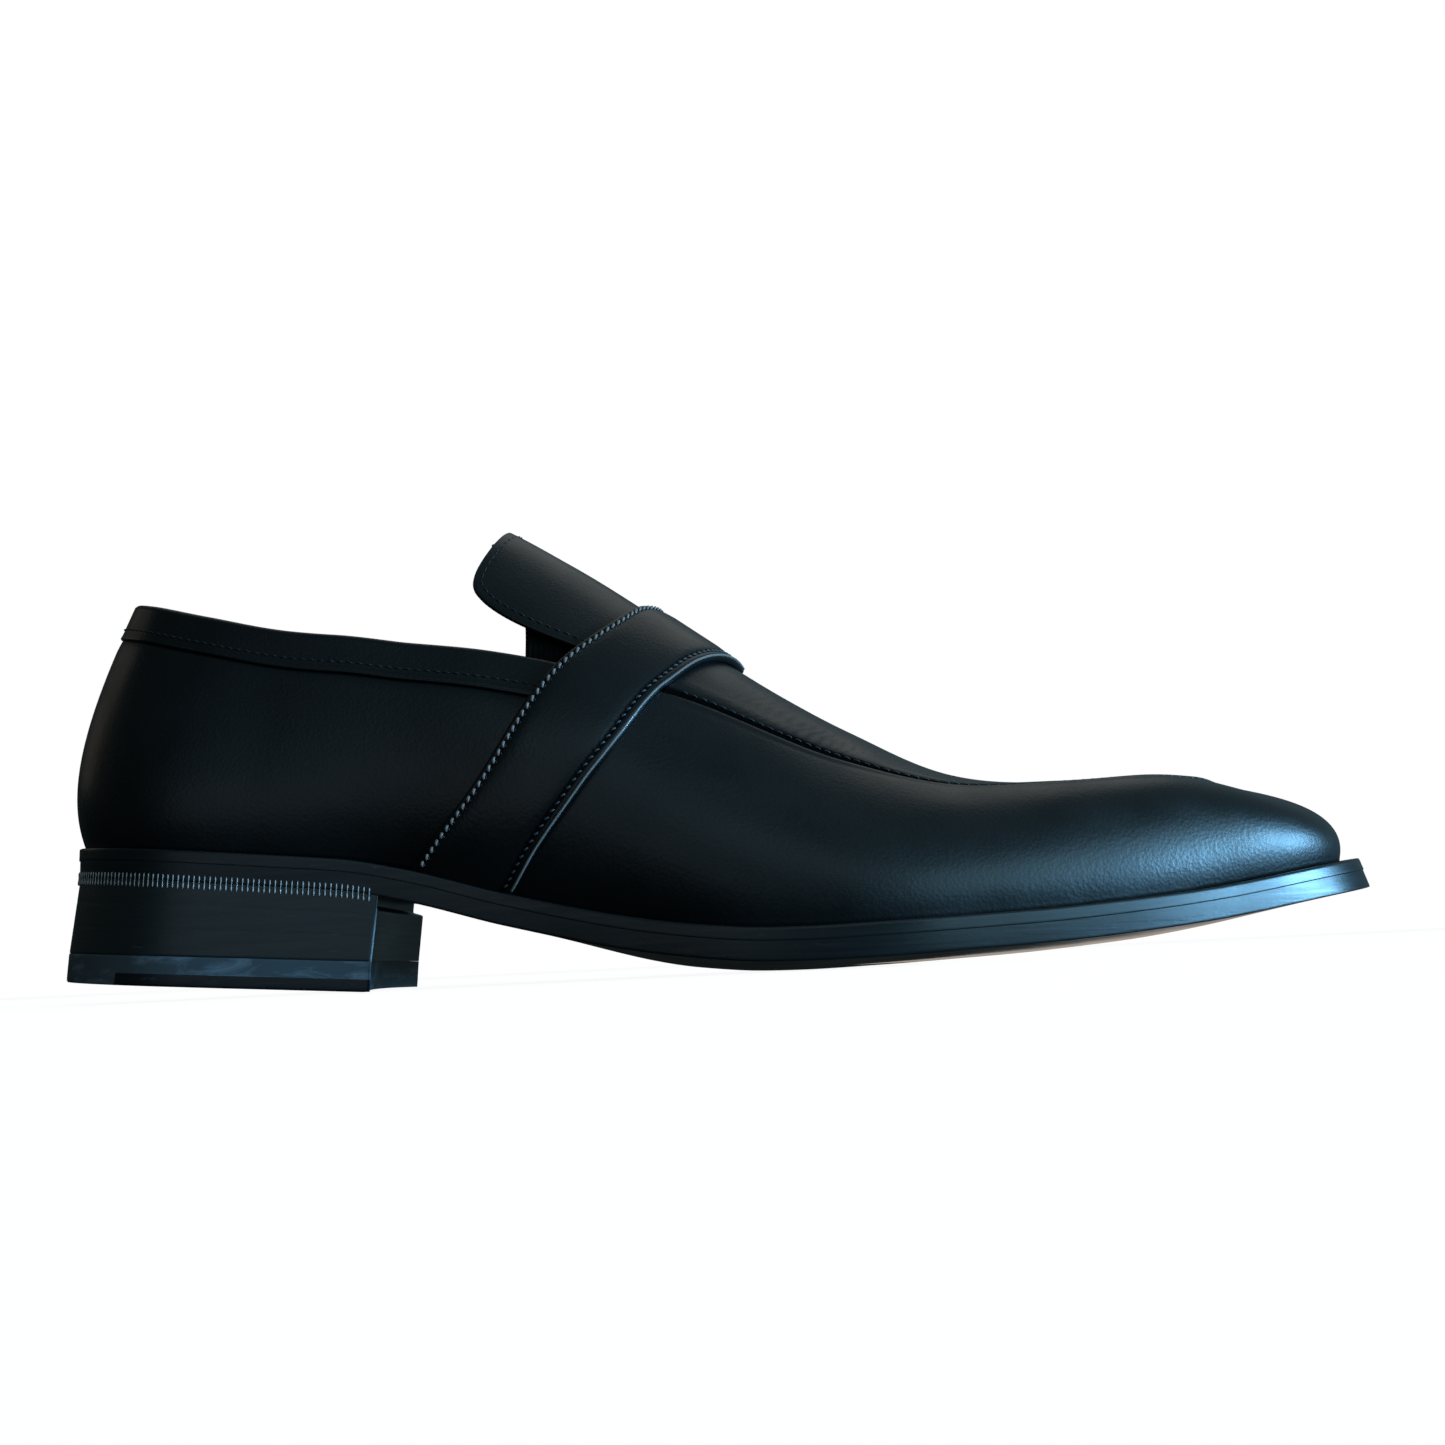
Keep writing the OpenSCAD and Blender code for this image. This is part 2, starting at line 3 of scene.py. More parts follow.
import bpy
import numpy as np
from mathutils import Matrix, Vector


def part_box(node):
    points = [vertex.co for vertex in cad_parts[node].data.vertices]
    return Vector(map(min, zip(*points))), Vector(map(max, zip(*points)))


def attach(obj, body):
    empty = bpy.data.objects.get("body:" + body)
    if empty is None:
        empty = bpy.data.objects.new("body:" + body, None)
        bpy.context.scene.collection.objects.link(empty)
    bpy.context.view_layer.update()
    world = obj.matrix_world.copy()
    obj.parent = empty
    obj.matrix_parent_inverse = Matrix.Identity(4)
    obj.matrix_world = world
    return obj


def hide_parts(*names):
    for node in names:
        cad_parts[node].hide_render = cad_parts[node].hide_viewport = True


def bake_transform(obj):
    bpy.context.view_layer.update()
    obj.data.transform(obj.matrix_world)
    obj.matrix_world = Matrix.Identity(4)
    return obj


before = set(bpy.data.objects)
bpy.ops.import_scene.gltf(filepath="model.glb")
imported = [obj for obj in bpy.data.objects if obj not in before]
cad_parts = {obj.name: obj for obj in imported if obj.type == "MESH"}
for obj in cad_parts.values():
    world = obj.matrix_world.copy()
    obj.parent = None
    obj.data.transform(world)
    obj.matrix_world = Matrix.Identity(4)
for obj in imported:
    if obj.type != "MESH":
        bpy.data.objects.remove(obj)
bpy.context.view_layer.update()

# Everything below is worked out in millimetres and put into the meshes in metres.
MM = 0.001

# ---------------------------------------------------------------- the last
# Ribs of the last, from the heel back (0) to the toe tip (14), as in the solids.
RIBS = 14
MID_X = 2.5
FEATHER = np.array([
    [-153.5, 0, 0], [-147, 17, 17], [-129, 28.5, 28.5], [-103, 31.5, 31], [-76, 31.5, 29.5],
    [-49, 33, 26], [-22, 38.5, 28], [4, 45, 35.5], [30, 47.5, 43.5], [56, 43.5, 47],
    [82, 36.5, 42], [107, 28, 33.5], [128, 20, 26], [141, 11, 17], [146, -2.5, 2.5]])
BRIM = np.array([
    [-143.5, 0, 0, 61.5], [-134.5, 14, 14, 59], [-119, 21.5, 21.5, 55.5], [-98, 26.5, 26, 52],
    [-73, 30, 28, 51.5], [-50, 33, 30, 54], [-27, 34, 31, 53.5], [-2.5, 32.5, 31, 48.5],
    [25, 30.5, 30.5, 37], [50, 28.5, 29.5, 29.6], [75, 25, 27, 28.3], [97, 19.5, 22, 27.5],
    [110, 13.5, 17, 25.3], [117, 6.5, 9.5, 23.6], [119, -1.5, 1.5, 23.4]])
SWELL = np.array([
    [6, 16.5, 10, 24], [6, 16, 8, 23], [5.5, 15, 5, 22], [5, 14, 4, 22], [6.5, 14, 5, 20],
    [9, 13, 7, 18], [8, 13, 9, 15], [5, 12, 9.5, 12], [3.5, 12, 11, 10], [3, 11, 12, 5.5],
    [3, 10, 11, 3], [3, 10, 11, 2.5], [3.5, 10, 13, 3.5], [3.5, 10.5, 13.8, 4.4], [3.5, 11, 17.2, 3.4]])
CROWN = np.array([
    [16, 36], [16, 36], [16, 36], [16, 38], [16, 35.5], [14.5, 27], [12, 18.7], [8.5, 12.4], [5, 9.6],
    [2.5, 4.8], [1, 1.3], [0.5, 1.4], [0, 2.1], [0, 1.3], [0, 0]])
RISE = np.array([
    [-88, 0.744, 0], [-70, 0.612, 0], [-49, 0.386, 0], [-22, 0.147, 0], [0, 0.026, 0], [15, 0, 0],
    [32, 0, 0.018], [50, 0, 0.062], [73, 0, 0.15], [105, 0, 0.39], [135, 0, 0.77], [154, 0, 1]])
STRAP = np.array([
    [0, 4.23, 5.05], [0.25, 4.53, 5.37], [0.5, 4.9, 5.81], [0.75, 5.27, 6.27], [1, 5.64, 6.58],
    [1.13, 5.8, 6.67], [1.25, 5.86, 6.77], [1.38, 5.94, 6.88], [1.5, 5.98, 6.96]])
TONGUE = np.array([
    [4.33, 0.5, 0.4], [4.335, 0.62, 0.49], [4.35, 0.7, 0.54], [4.4, 0.76, 0.6], [4.52, 0.8, 0.66],
    [4.7, 0.832, 0.73], [4.95, 0.86, 0.81], [5.3, 0.884, 0.86], [5.7, 0.9, 0.9], [6.2, 0.93, 0.93]])
ARCH_POWER = 2.4
HEEL_RISE = 27.2
TOE_SPRING = 11.3
OUTSOLE_T, WELT_T, GAP = 4.4, 2.4, 0.25
WELT_SHOW, HEEL_SHOW = 5.5, 1.3
SOLE_CROWN = 2.1
TOE_LEAN = 2.2
LEATHER_T, STIFFENER_T, LINING_T = 1.3, 1.0, 0.9
INSOLE_T, PAD_T, SOCK_T = 2.4, 2.6, 1.1
# Depths of the lining's outer and inner face below the surface of the last model
LINING_OUT = -LEATHER_T - STIFFENER_T - 2 * GAP
LINING_IN = LINING_OUT - LINING_T
COLLAR_H = 9.5
SOLE_T = OUTSOLE_T + WELT_T + GAP
EDGE_LOW = SOLE_CROWN + SOLE_T
SEAT_BACK = -155
SEAT_FALL = (1 - RISE[0, 1]) / (RISE[0, 0] - SEAT_BACK)

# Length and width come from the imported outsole, so that the looks follow the solids.
SOLE_BOX = [np.array(corner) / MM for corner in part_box("outsole")]
SOLE_LONG, SOLE_WIDE = (SOLE_BOX[1] - SOLE_BOX[0])[:2]
LEAN_TURN = 0.36
KX = round((SOLE_LONG - WELT_SHOW - HEEL_SHOW - LEAN_TURN * TOE_LEAN) / (FEATHER[-1, 0] - FEATHER[0, 0]), 2)
KY = round((SOLE_WIDE - 2 * WELT_SHOW) / (FEATHER[:, 1].max() + FEATHER[:, 2].max()), 2)


def lerp(a, b, t):
    """Value at a share t of the way from a to b."""
    return a + (b - a) * t


def smooth(t):
    """Cubic ease from 0 to 1."""
    s = np.clip(t, 0, 1)
    return s * s * (3 - 2 * s)


def unit(v):
    """Vectors divided by their length."""
    return v / np.maximum(np.linalg.norm(v, axis=-1, keepdims=True), 1e-9)


def along(p, x, k, first=None):
    """Piecewise cubic through the points p, column k against column 0: the slope at a point is that of the chord
    between its two neighbours."""
    n = len(p)
    before, after = np.maximum(np.arange(n) - 1, 0), np.minimum(np.arange(n) + 1, n - 1)
    slope = (p[after, k] - p[before, k]) / (p[after, 0] - p[before, 0])
    if first is not None:
        slope[0] = first
    x = np.asarray(x, float)
    i = np.clip(np.searchsorted(p[:, 0], x, side="right") - 1, 0, n - 2)
    w = p[i + 1, 0] - p[i, 0]
    t = np.clip((x - p[i, 0]) / w, 0, 1)
    return (p[i, k] * (1 + 2 * t) * (1 - t) ** 2 + slope[i] * w * t * (1 - t) ** 2
            + p[i + 1, k] * t * t * (3 - 2 * t) + slope[i + 1] * w * t * t * (t - 1))


def ring(p, plan):
    """Rib values once round the shoe: outer side to the toe, then inner side back. A plan has signed widths."""
    outer = np.column_stack([p[:, 0], -p[:, 1]]) if plan else p
    inner = np.column_stack([p[:, 0], p[:, 2]]) if plan else p
    return np.concatenate([outer, inner[RIBS - 1:0:-1]])


def bend(p, u):
    """Uniform cubic through the points of a closed ring, at places u counted in ribs."""
    i = np.floor(u).astype(int)
    t = (u - i)[..., None]
    a, b, c, d = (p[(i + k) % len(p)] for k in (-1, 0, 1, 2))
    return 0.5 * (2 * b + (c - a) * t + (2 * a - 5 * b + 4 * c - d) * t * t
                  + (3 * b - a - 3 * c + d) * t ** 3)


FEATHER_RING, BRIM_RING = ring(FEATHER, True), ring(BRIM, True)
BRIM_VALUES, SWELL_VALUES, CROWN_VALUES = ring(BRIM, False), ring(SWELL, False), ring(CROWN, False)


def plan_at(p, u):
    """Point of a ring's plan at rib u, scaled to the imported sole."""
    return (bend(p, u) + [MID_X, 0]) * [KX, KY]


def sole_top(x):
    """Height of the top of the sole's edge: a straight seat, then shares of the heel rise and the toe spring."""
    r = np.asarray(x) / KX - MID_X
    seat = HEEL_RISE * (RISE[0, 1] + (RISE[0, 0] - r) * SEAT_FALL)
    front = HEEL_RISE * along(RISE, r, 1, -SEAT_FALL) + TOE_SPRING * along(RISE, r, 2)
    return EDGE_LOW + np.where(r < RISE[0, 0], seat, front)


def outward(u):
    """Level direction square to the feather line, pointing out of the shoe."""
    t = plan_at(FEATHER_RING, u + 0.02) - plan_at(FEATHER_RING, u - 0.02)
    return unit(np.stack([t[..., 1], -t[..., 0], np.zeros_like(u)], -1))


def feather(u):
    """Line where the upper meets the welt."""
    p = plan_at(FEATHER_RING, u)
    return np.stack([p[..., 0], p[..., 1], sole_top(p[..., 0]) + GAP], -1)


def brim(u):
    """Line where the side of the upper turns into the instep, and the topline behind it."""
    p = plan_at(BRIM_RING, u)
    return np.stack([p[..., 0], p[..., 1], sole_top(p[..., 0]) + bend(BRIM_VALUES, u)[..., 3]], -1)


def wall(u, v):
    """Side of the upper: at each rib a cubic curve from the feather line (v = 0) to the brim (v = 1)."""
    a, d, s, o = feather(u), brim(u), bend(SWELL_VALUES, u), outward(u)
    up = np.array([0, 0, 1.0])
    b = a + o * s[..., :1] + up * s[..., 1:2]
    c = d + o * s[..., 2:3] - up * s[..., 3:4]
    v = np.asarray(v)[..., None]
    return a * (1 - v) ** 3 + 3 * b * v * (1 - v) ** 2 + 3 * c * v * v * (1 - v) + d * v ** 3


def crown(u, w):
    """Instep and apron: an arch of the power ARCH_POWER from the outer brim (w = -1) to the inner one (w = 1)."""
    c = bend(CROWN_VALUES, u)
    arch = (1 - np.abs(w) ** ARCH_POWER)[..., None]
    rise = np.stack([c[..., 0] * KX, np.zeros_like(u), c[..., 1]], -1)
    return lerp(brim(u), brim(-u), ((w + 1) / 2)[..., None]) + rise * arch


def wall_off(u, v, d):
    """Point of the wall moved out along its normal by d."""
    e = 0.01
    s = np.where(v > 0.5, -e, e)
    n = np.cross(wall(u + e, v) - wall(u - e, v), (wall(u, v + s) - wall(u, v)) / s[..., None])
    return wall(u, v) + unit(n) * np.asarray(d)[..., None]


def crown_off(u, w, d):
    """Point of the crown moved out along its normal by d."""
    e = 0.01
    n = np.cross(crown(u + e, w) - crown(u - e, w), crown(u, w + e) - crown(u, w - e))
    return crown(u, w) + unit(n) * np.asarray(d)[..., None]


def across(u, q, d):
    """Point of the upper at rib u and place q across it, a distance d out: 0 to 1 is the outer wall, 1 to 2 the
    crown and 2 to 3 the inner wall."""
    u, q, d = (np.asarray(a, float) for a in np.broadcast_arrays(u, q, d))
    outer = wall_off(u, np.clip(q, 0, 1), d)
    inner = wall_off(-u, np.clip(3 - q, 0, 1), d)
    top = crown_off(u, np.clip(2 * q - 3, -1, 1), d)
    return np.where((q < 1)[..., None], outer, np.where((q > 2)[..., None], inner, top))


def strap_edge(q, k):
    """Rib at which the strap's rear edge (k = 1) or front edge (k = 2) lies, at place q across the shoe."""
    return along(STRAP, np.where(q > 1.5, 3 - q, q), k)


def strap_mid(q):
    """Rib of the strap's middle line, under which vamp and quarter meet."""
    return (strap_edge(q, 1) + strap_edge(q, 2)) / 2


def collar_v(u):
    """Place on the wall of the collar's seam, COLLAR_H below the topline."""
    s = bend(SWELL_VALUES, u)
    return 1 - COLLAR_H / (3 * np.hypot(s[..., 2], s[..., 3]))


def ribs_from_heel(u):
    """Ribs between u and the heel back, the shorter way round."""
    return np.abs((u + 3 * RIBS) % (2 * RIBS) - RIBS)


def show(u):
    """Width of welt that shows: narrow at the heel, wide from the waist forward."""
    return lerp(HEEL_SHOW, WELT_SHOW, smooth((ribs_from_heel(u) - 3) / 4))


def lean(u, h):
    """How far the slanted edge at the toe stands out at a share h of the sole's thickness from the ground up."""
    return TOE_LEAN * (LEAN_TURN - h) * smooth((ribs_from_heel(u) - 11.5) / 2.5)


def edge(u, extra=0.0, h=LEAN_TURN):
    """Plan of the sole's edge at rib u, moved out by extra, at a share h of the sole's thickness."""
    p, o = plan_at(FEATHER_RING, u), outward(u)[..., :2]
    return p + o * (show(u) + extra + lean(u, h))[..., None]


def outline(u, extra):
    """Plan of the feather line moved out by extra."""
    return plan_at(FEATHER_RING, u) + outward(u)[..., :2] * np.asarray(extra)[..., None]


# ---------------------------------------------------------------- mesh makers
def mesh_object(name, points, faces, material):
    """Object at the origin from points in millimetres and faces of any size, shaded smooth."""
    mesh = bpy.data.meshes.new(name)
    mesh.from_pydata((np.asarray(points) * MM).tolist(), [], faces)
    mesh.polygons.foreach_set("use_smooth", [True] * len(mesh.polygons))
    mesh.materials.append(material)
    mesh.update()
    piece = bpy.data.objects.new(name, mesh)
    bpy.context.collection.objects.link(piece)
    return piece


def grid_faces(rows, cols, start=0, wrap=False):
    """Quads of a grid whose normal is rows crossed with columns."""
    i, j = np.meshgrid(np.arange(rows - (0 if wrap else 1)), np.arange(cols - 1), indexing="ij")
    k = (i + 1) % rows
    quads = np.stack([i * cols + j, k * cols + j, k * cols + j + 1, i * cols + j + 1], -1).reshape(-1, 4)
    return quads + start


def ring_faces(rows, cols, flip=False):
    """Quads between the rings of a grid whose columns close on themselves. flip turns their normals round."""
    i, j = np.meshgrid(np.arange(rows - 1), np.arange(cols), indexing="ij")
    k = (j + 1) % cols
    quads = np.stack([i * cols + j, (i + 1) * cols + j, (i + 1) * cols + k, i * cols + k], -1).reshape(-1, 4)
    return quads[:, [0, 3, 2, 1]] if flip else quads


def border(rows, cols):
    """Indices once round a grid's border: along the first column, the last row, back, and the first row."""
    i, j = np.arange(rows), np.arange(cols)
    return np.concatenate([i[:-1] * cols, (rows - 1) * cols + j[:-1], i[:0:-1] * cols + cols - 1, j[:0:-1]])


ROUND_RIM = [(0.5 - 0.5 * math.cos(a), math.sin(a)) for a in np.linspace(0, math.pi, 7)[1:-1]]
FLAT_RIM = [(0.0, 0.55), (0.01, 0.85), (0.03, 0.97), (0.08, 1), (0.5, 1), (0.86, 1), (0.93, 0.95),
            (0.97, 0.8), (0.99, 0.5)]


def shell_mesh(outer, inner, rim, bulge):
    """Points and faces of a closed sheet between two grids. Round its border runs a rim: each step of it lies at
    a share of the way from outer to inner, and stands out from the border by a share of the bulge."""
    rows, cols = outer.shape[:2]
    top, low = outer.reshape(-1, 3), inner.reshape(-1, 3)
    way_out = np.zeros((rows, cols, 3))
    way_out[:, 0] -= unit(outer[:, 1] - outer[:, 0])
    way_out[:, -1] -= unit(outer[:, -2] - outer[:, -1])
    way_out[0] -= unit(outer[1] - outer[0])
    way_out[-1] -= unit(outer[-2] - outer[-1])
    loop = border(rows, cols)
    out = unit(way_out.reshape(-1, 3)[loop])
    steps = [lerp(top[loop], low[loop], t) + out * (e * bulge) for t, e in rim]
    n, m = rows * cols, len(loop)
    points = np.concatenate([top, low] + steps)
    chain = [loop] + [2 * n + k * m + np.arange(m) for k in range(len(rim))] + [loop + n]
    faces = [grid_faces(rows, cols), grid_faces(rows, cols, n)[:, ::-1]]
    for a, b in zip(chain[:-1], chain[1:]):
        faces.append(np.stack([a, b, np.roll(b, -1), np.roll(a, -1)], -1))
    return points, np.concatenate(faces)


def shell(name, outer, inner, material, bulge=0.5):
    """Sheet of leather between two grids, with a rounded border."""
    points, faces = shell_mesh(outer, inner, ROUND_RIM, bulge)
    return mesh_object(name, points, faces.tolist(), material)


def tube_mesh(path, radius, sides=10, flat=1.0, up=None):
    """Round cord along a path of points, closed by cones at its ends. Its rings stand square to the path, and up is
    the direction in which they are flattened."""
    t = unit(np.gradient(path, axis=0))
    up = np.broadcast_to(np.array([0, 0, 1.0]) if up is None else up, path.shape)
    b = unit(np.cross(t, up))
    n = np.cross(b, t)
    a = np.arange(sides) * 2 * math.pi / sides
    across_it = b[:, None] * np.cos(a)[:, None]
    grid = path[:, None] + radius * (across_it + n[:, None] * (flat * np.sin(a))[:, None])
    k = len(path)
    quads = ring_faces(k, sides, flip=True)
    side = np.arange(sides)
    caps = np.concatenate([
        np.stack([np.full(sides, k * sides), (side + 1) % sides, side, side], -1),
        np.stack([np.full(sides, k * sides + 1), (k - 1) * sides + side,
                  (k - 1) * sides + (side + 1) % sides, (k - 1) * sides + (side + 1) % sides], -1)])[:, :3]
    tip = 0.6 * radius
    points = np.concatenate([grid.reshape(-1, 3), path[:1] - t[:1] * tip, path[-1:] + t[-1:] * tip])
    return points, quads.tolist() + caps.tolist()


def even(path, count):
    """The path again with its points evenly spaced."""
    s = np.concatenate([[0], np.cumsum(np.linalg.norm(np.diff(path, axis=0), axis=1))])
    want = np.linspace(0, s[-1], count)
    return np.stack([np.interp(want, s, path[:, k]) for k in range(3)], -1)


def strand_faces(count, rings, sides, flip=False):
    """Faces of a row of short strands, each a closed stack of rings. flip turns their normals round."""
    quads = ring_faces(rings, sides)
    first = list(range(sides))
    last = [(rings - 1) * sides + k for k in range(sides)][::-1]
    if flip:
        quads, first, last = quads[:, ::-1], first[::-1], last[::-1]
    faces = []
    for start in range(0, count * rings * sides, rings * sides):
        faces += (quads + start).tolist()
        faces += [[v + start for v in first], [v + start for v in last]]
    return faces


def stitches(name, path, normals, material, pitch=2.6, length=2.0, radius=0.26, slant=8.0, lift=0.05):
    """Row of stitches: short threads laid along a path, each an arc of seven rings that dives into the leather at
    both ends and is turned a little about the surface normal."""
    s = np.concatenate([[0], np.cumsum(np.linalg.norm(np.diff(path, axis=0), axis=1))])
    count = max(2, int(s[-1] / pitch))
    want = (np.arange(count) + 0.5) * s[-1] / count
    at = np.stack([np.interp(want, s, path[:, k]) for k in range(3)], -1)
    n = unit(np.stack([np.interp(want, s, normals[:, k]) for k in range(3)], -1))
    t = unit(np.stack([np.interp(want, s, np.gradient(path[:, k], s)) for k in range(3)], -1))
    b = unit(np.cross(n, t))
    turn = math.radians(slant)
    t, b = t * math.cos(turn) + b * math.sin(turn), b * math.cos(turn) - t * math.sin(turn)
    rings, sides = 7, 6
    z = np.linspace(-1, 1, rings)
    fat = np.sqrt(np.clip(1 - z ** 4, 0.02, 1))
    a = np.arange(sides) * 2 * math.pi / sides
    along_t = z * length / 2
    high = (lift + radius * 0.9) - (radius * 1.5) * z ** 2
    local = np.stack([
        np.broadcast_to(along_t[:, None], (rings, sides)),
        radius * fat[:, None] * np.cos(a),
        high[:, None] + radius * fat[:, None] * np.sin(a)], -1).reshape(-1, 3)
    basis = np.stack([t, b, n], 1)
    points = at[:, None] + np.einsum("pk,skc->spc", local, basis)
    return mesh_object(name, points.reshape(-1, 3), strand_faces(count, rings, sides, flip=True), material)


# ---------------------------------------------------------------- finishes
class Nodes:
    """The shader nodes of one material. Each method adds a node and returns its output, and a value given to it is
    either a number or another node's output."""

    def __init__(self, name):
        self.material = bpy.data.materials.new(name)
        self.material.use_nodes = True
        self.tree = self.material.node_tree
        self.shader = self.tree.nodes["Principled BSDF"]

    def add(self, kind, inputs=None, **settings):
        node = self.tree.nodes.new(kind)
        for key, value in settings.items():
            setattr(node, key, value)
        for key, value in (inputs or {}).items():
            if isinstance(value, bpy.types.NodeSocket):
                self.tree.links.new(value, node.inputs[key])
            else:
                node.inputs[key].default_value = value
        return node

    def set(self, **values):
        for key, value in values.items():
            socket = self.shader.inputs[key.replace("_", " ")]
            if isinstance(value, bpy.types.NodeSocket):
                self.tree.links.new(value, socket)
            else:
                socket.default_value = value

    def object_xyz(self, scale=(1, 1, 1)):
        where = self.add("ShaderNodeTexCoord").outputs["Object"]
        return self.add("ShaderNodeMapping", {"Vector": where, "Scale": scale}).outputs["Vector"]

    def noise(self, vector, scale, detail=3.0, rough=0.5, distortion=0.0):
        return self.add("ShaderNodeTexNoise", {"Vector": vector, "Scale": scale, "Detail": detail,
                                               "Roughness": rough, "Distortion": distortion}).outputs["Fac"]

    def cells(self, vector, scale, feature="F1"):
        node = self.add("ShaderNodeTexVoronoi", {"Vector": vector, "Scale": scale}, feature=feature)
        return node.outputs["Distance"]

    def span(self, value, low, high, to_low=0.0, to_high=1.0):
        return self.add("ShaderNodeMapRange", {"Value": value, "From Min": low, "From Max": high,
                                               "To Min": to_low, "To Max": to_high}).outputs["Result"]

    def math(self, how, a, b):
        return self.add("ShaderNodeMath", {0: a, 1: b}, operation=how).outputs[0]

    def mix(self, share, a, b):
        node = self.tree.nodes.new("ShaderNodeMix")
        node.data_type = "RGBA"
        for key, value in ((0, share), (6, a), (7, b)):
            if isinstance(value, bpy.types.NodeSocket):
                self.tree.links.new(value, node.inputs[key])
            else:
                node.inputs[key].default_value = value
        return node.outputs[2]

    def bump(self, height, distance, strength=1.0, below=None):
        inputs = {"Height": height, "Distance": distance, "Strength": strength}
        if below is not None:
            inputs["Normal"] = below
        return self.add("ShaderNodeBump", inputs).outputs["Normal"]

    def attribute(self, name):
        return self.add("ShaderNodeAttribute", attribute_name=name).outputs["Fac"]


def rgb(r, g, b):
    """Opaque colour."""
    return (r, g, b, 1.0)


def calf(name, dark, light, rough=(0.33, 0.46), grain=0.00006):
    """Polished calf: fine pebble of small cells, hair pores, slow changes of tone and gloss. Where the piece's
    groove shade value is 1 it takes painted shade: nearly black and dull, with less reflection and no coat."""
    n = Nodes(name)
    at = n.object_xyz()
    tone = n.noise(at, 28, 4)
    # Painted shade of stitch grooves and seams, stored on the piece: it darkens the colour and takes away reflection
    # and coat.
    groove_shade = n.attribute("groove_shade")
    skin = n.mix(n.span(tone, 0.35, 0.7), rgb(*dark), rgb(*light))
    n.set(Base_Color=n.mix(groove_shade, skin, rgb(0.0008, 0.0009, 0.001)))
    n.set(Specular_IOR_Level=n.span(groove_shade, 0.0, 1.0, 0.5, 0.06))
    pebble = n.cells(n.object_xyz((1, 1, 1)), 1150)
    fine = n.noise(at, 2600, 2)
    slow = n.noise(at, 90, 3)
    n.set(Roughness=n.span(n.math("ADD", n.math("MULTIPLY", slow, 0.7), n.math("MULTIPLY", fine, 0.3)),
                           0.35, 0.68, rough[0], rough[1]))
    creased = n.noise(n.object_xyz((1, 1, 1)), 260, 4, 0.6, 0.6)
    first = n.bump(n.math("ADD", pebble, n.math("MULTIPLY", fine, 0.5)), grain, 0.55)
    n.set(Normal=n.bump(creased, grain * 1.4, 0.35, first))
    n.set(Coat_Weight=n.span(groove_shade, 0.0, 1.0, 0.14, 0.0), Coat_Roughness=0.24)
    return n.material


def mark(piece, name, values):
    """Stores one value for every point of a piece, which its material reads by name."""
    values = np.asarray(values, np.float32)
    piece.data.attributes.new(name, "FLOAT", "POINT").data.foreach_set("value", values)


def shade(piece, values):
    """Stores on every point how much painted shade of a stitch groove or seam it takes, from 0 to 1."""
    mark(piece, "groove_shade", values)


def lining_leather():
    """Dull lining calf: two close tones and a small pebble."""
    n = Nodes("lining_calf")
    at = n.object_xyz()
    n.set(Base_Color=n.mix(n.noise(at, 60, 4), rgb(0.022, 0.02, 0.02), rgb(0.05, 0.046, 0.044)))
    n.set(Roughness=n.span(n.noise(at, 300, 3), 0.3, 0.7, 0.55, 0.72))
    n.set(Normal=n.bump(n.cells(at, 900), 0.00008, 0.5))
    return n.material


def ironed_streaks(n):
    """What the hot iron and the wax leave on a leather edge: streaks along the sole, small scuffs, and the gloss
    that both give."""
    streaks = n.noise(n.object_xyz((40, 40, 900)), 1.0, 5, 0.6)
    scuff = n.span(n.noise(n.object_xyz((90, 90, 700)), 1.0, 6, 0.7, 1.2), 0.62, 0.72)
    gloss = n.span(n.math("ADD", streaks, n.math("MULTIPLY", scuff, 0.4)), 0.3, 0.9, 0.24, 0.46)
    return streaks, scuff, gloss


def edge_wax(name, ink_tone):
    """Inked, waxed and ironed leather edge. It is painted pale bluish grey where the piece's corner highlight value
    is 1: a painted highlight.
    """
    n = Nodes(name)
    streaks, scuff, gloss = ironed_streaks(n)
    fibre = n.noise(n.object_xyz((600, 600, 1500)), 1.0, 3, 0.6)
    ink = n.mix(scuff, rgb(*ink_tone), rgb(*[c + 0.04 for c in ink_tone]))
    # Painted highlight: pale bluish grey where the corner highlight value is 1.
    n.set(Base_Color=n.mix(n.attribute("worn"), ink, rgb(0.5, 0.56, 0.6)))
    n.set(Roughness=gloss)
    n.set(Normal=n.bump(n.math("ADD", streaks, n.math("MULTIPLY", fibre, 0.4)), 0.00007, 0.5))
    n.set(Coat_Weight=0.15, Coat_Roughness=0.2)
    return n.material


def sole_leather():
    """Sole: inked black at the edge and waxed brown leather underneath, scratched lengthways by wear."""
    n = Nodes("sole_leather")
    under = n.attribute("underside")
    at = n.object_xyz()
    fibre = n.noise(n.object_xyz((500, 500, 500)), 1.0, 4, 0.6)
    wear = n.noise(n.object_xyz((25, 160, 25)), 1.0, 5, 0.65, 0.5)
    tan = n.mix(n.span(wear, 0.35, 0.7), rgb(0.20, 0.115, 0.062), rgb(0.42, 0.28, 0.18))
    tan = n.mix(n.math("MULTIPLY", fibre, 0.35), tan, rgb(0.12, 0.07, 0.04))
    streaks, scuff, gloss = ironed_streaks(n)
    ink = n.mix(scuff, rgb(0.01, 0.012, 0.013), rgb(0.05, 0.052, 0.053))
    n.set(Base_Color=n.mix(under, ink, tan))
    n.set(Roughness=n.math("ADD", n.math("MULTIPLY", under, 0.16), gloss))
    n.set(Normal=n.bump(n.math("ADD", n.math("ADD", streaks, n.math("MULTIPLY", fibre, 0.4)),
                               n.math("MULTIPLY", n.noise(at, 900, 3), 0.4)), 0.00007, 0.5))
    return n.material


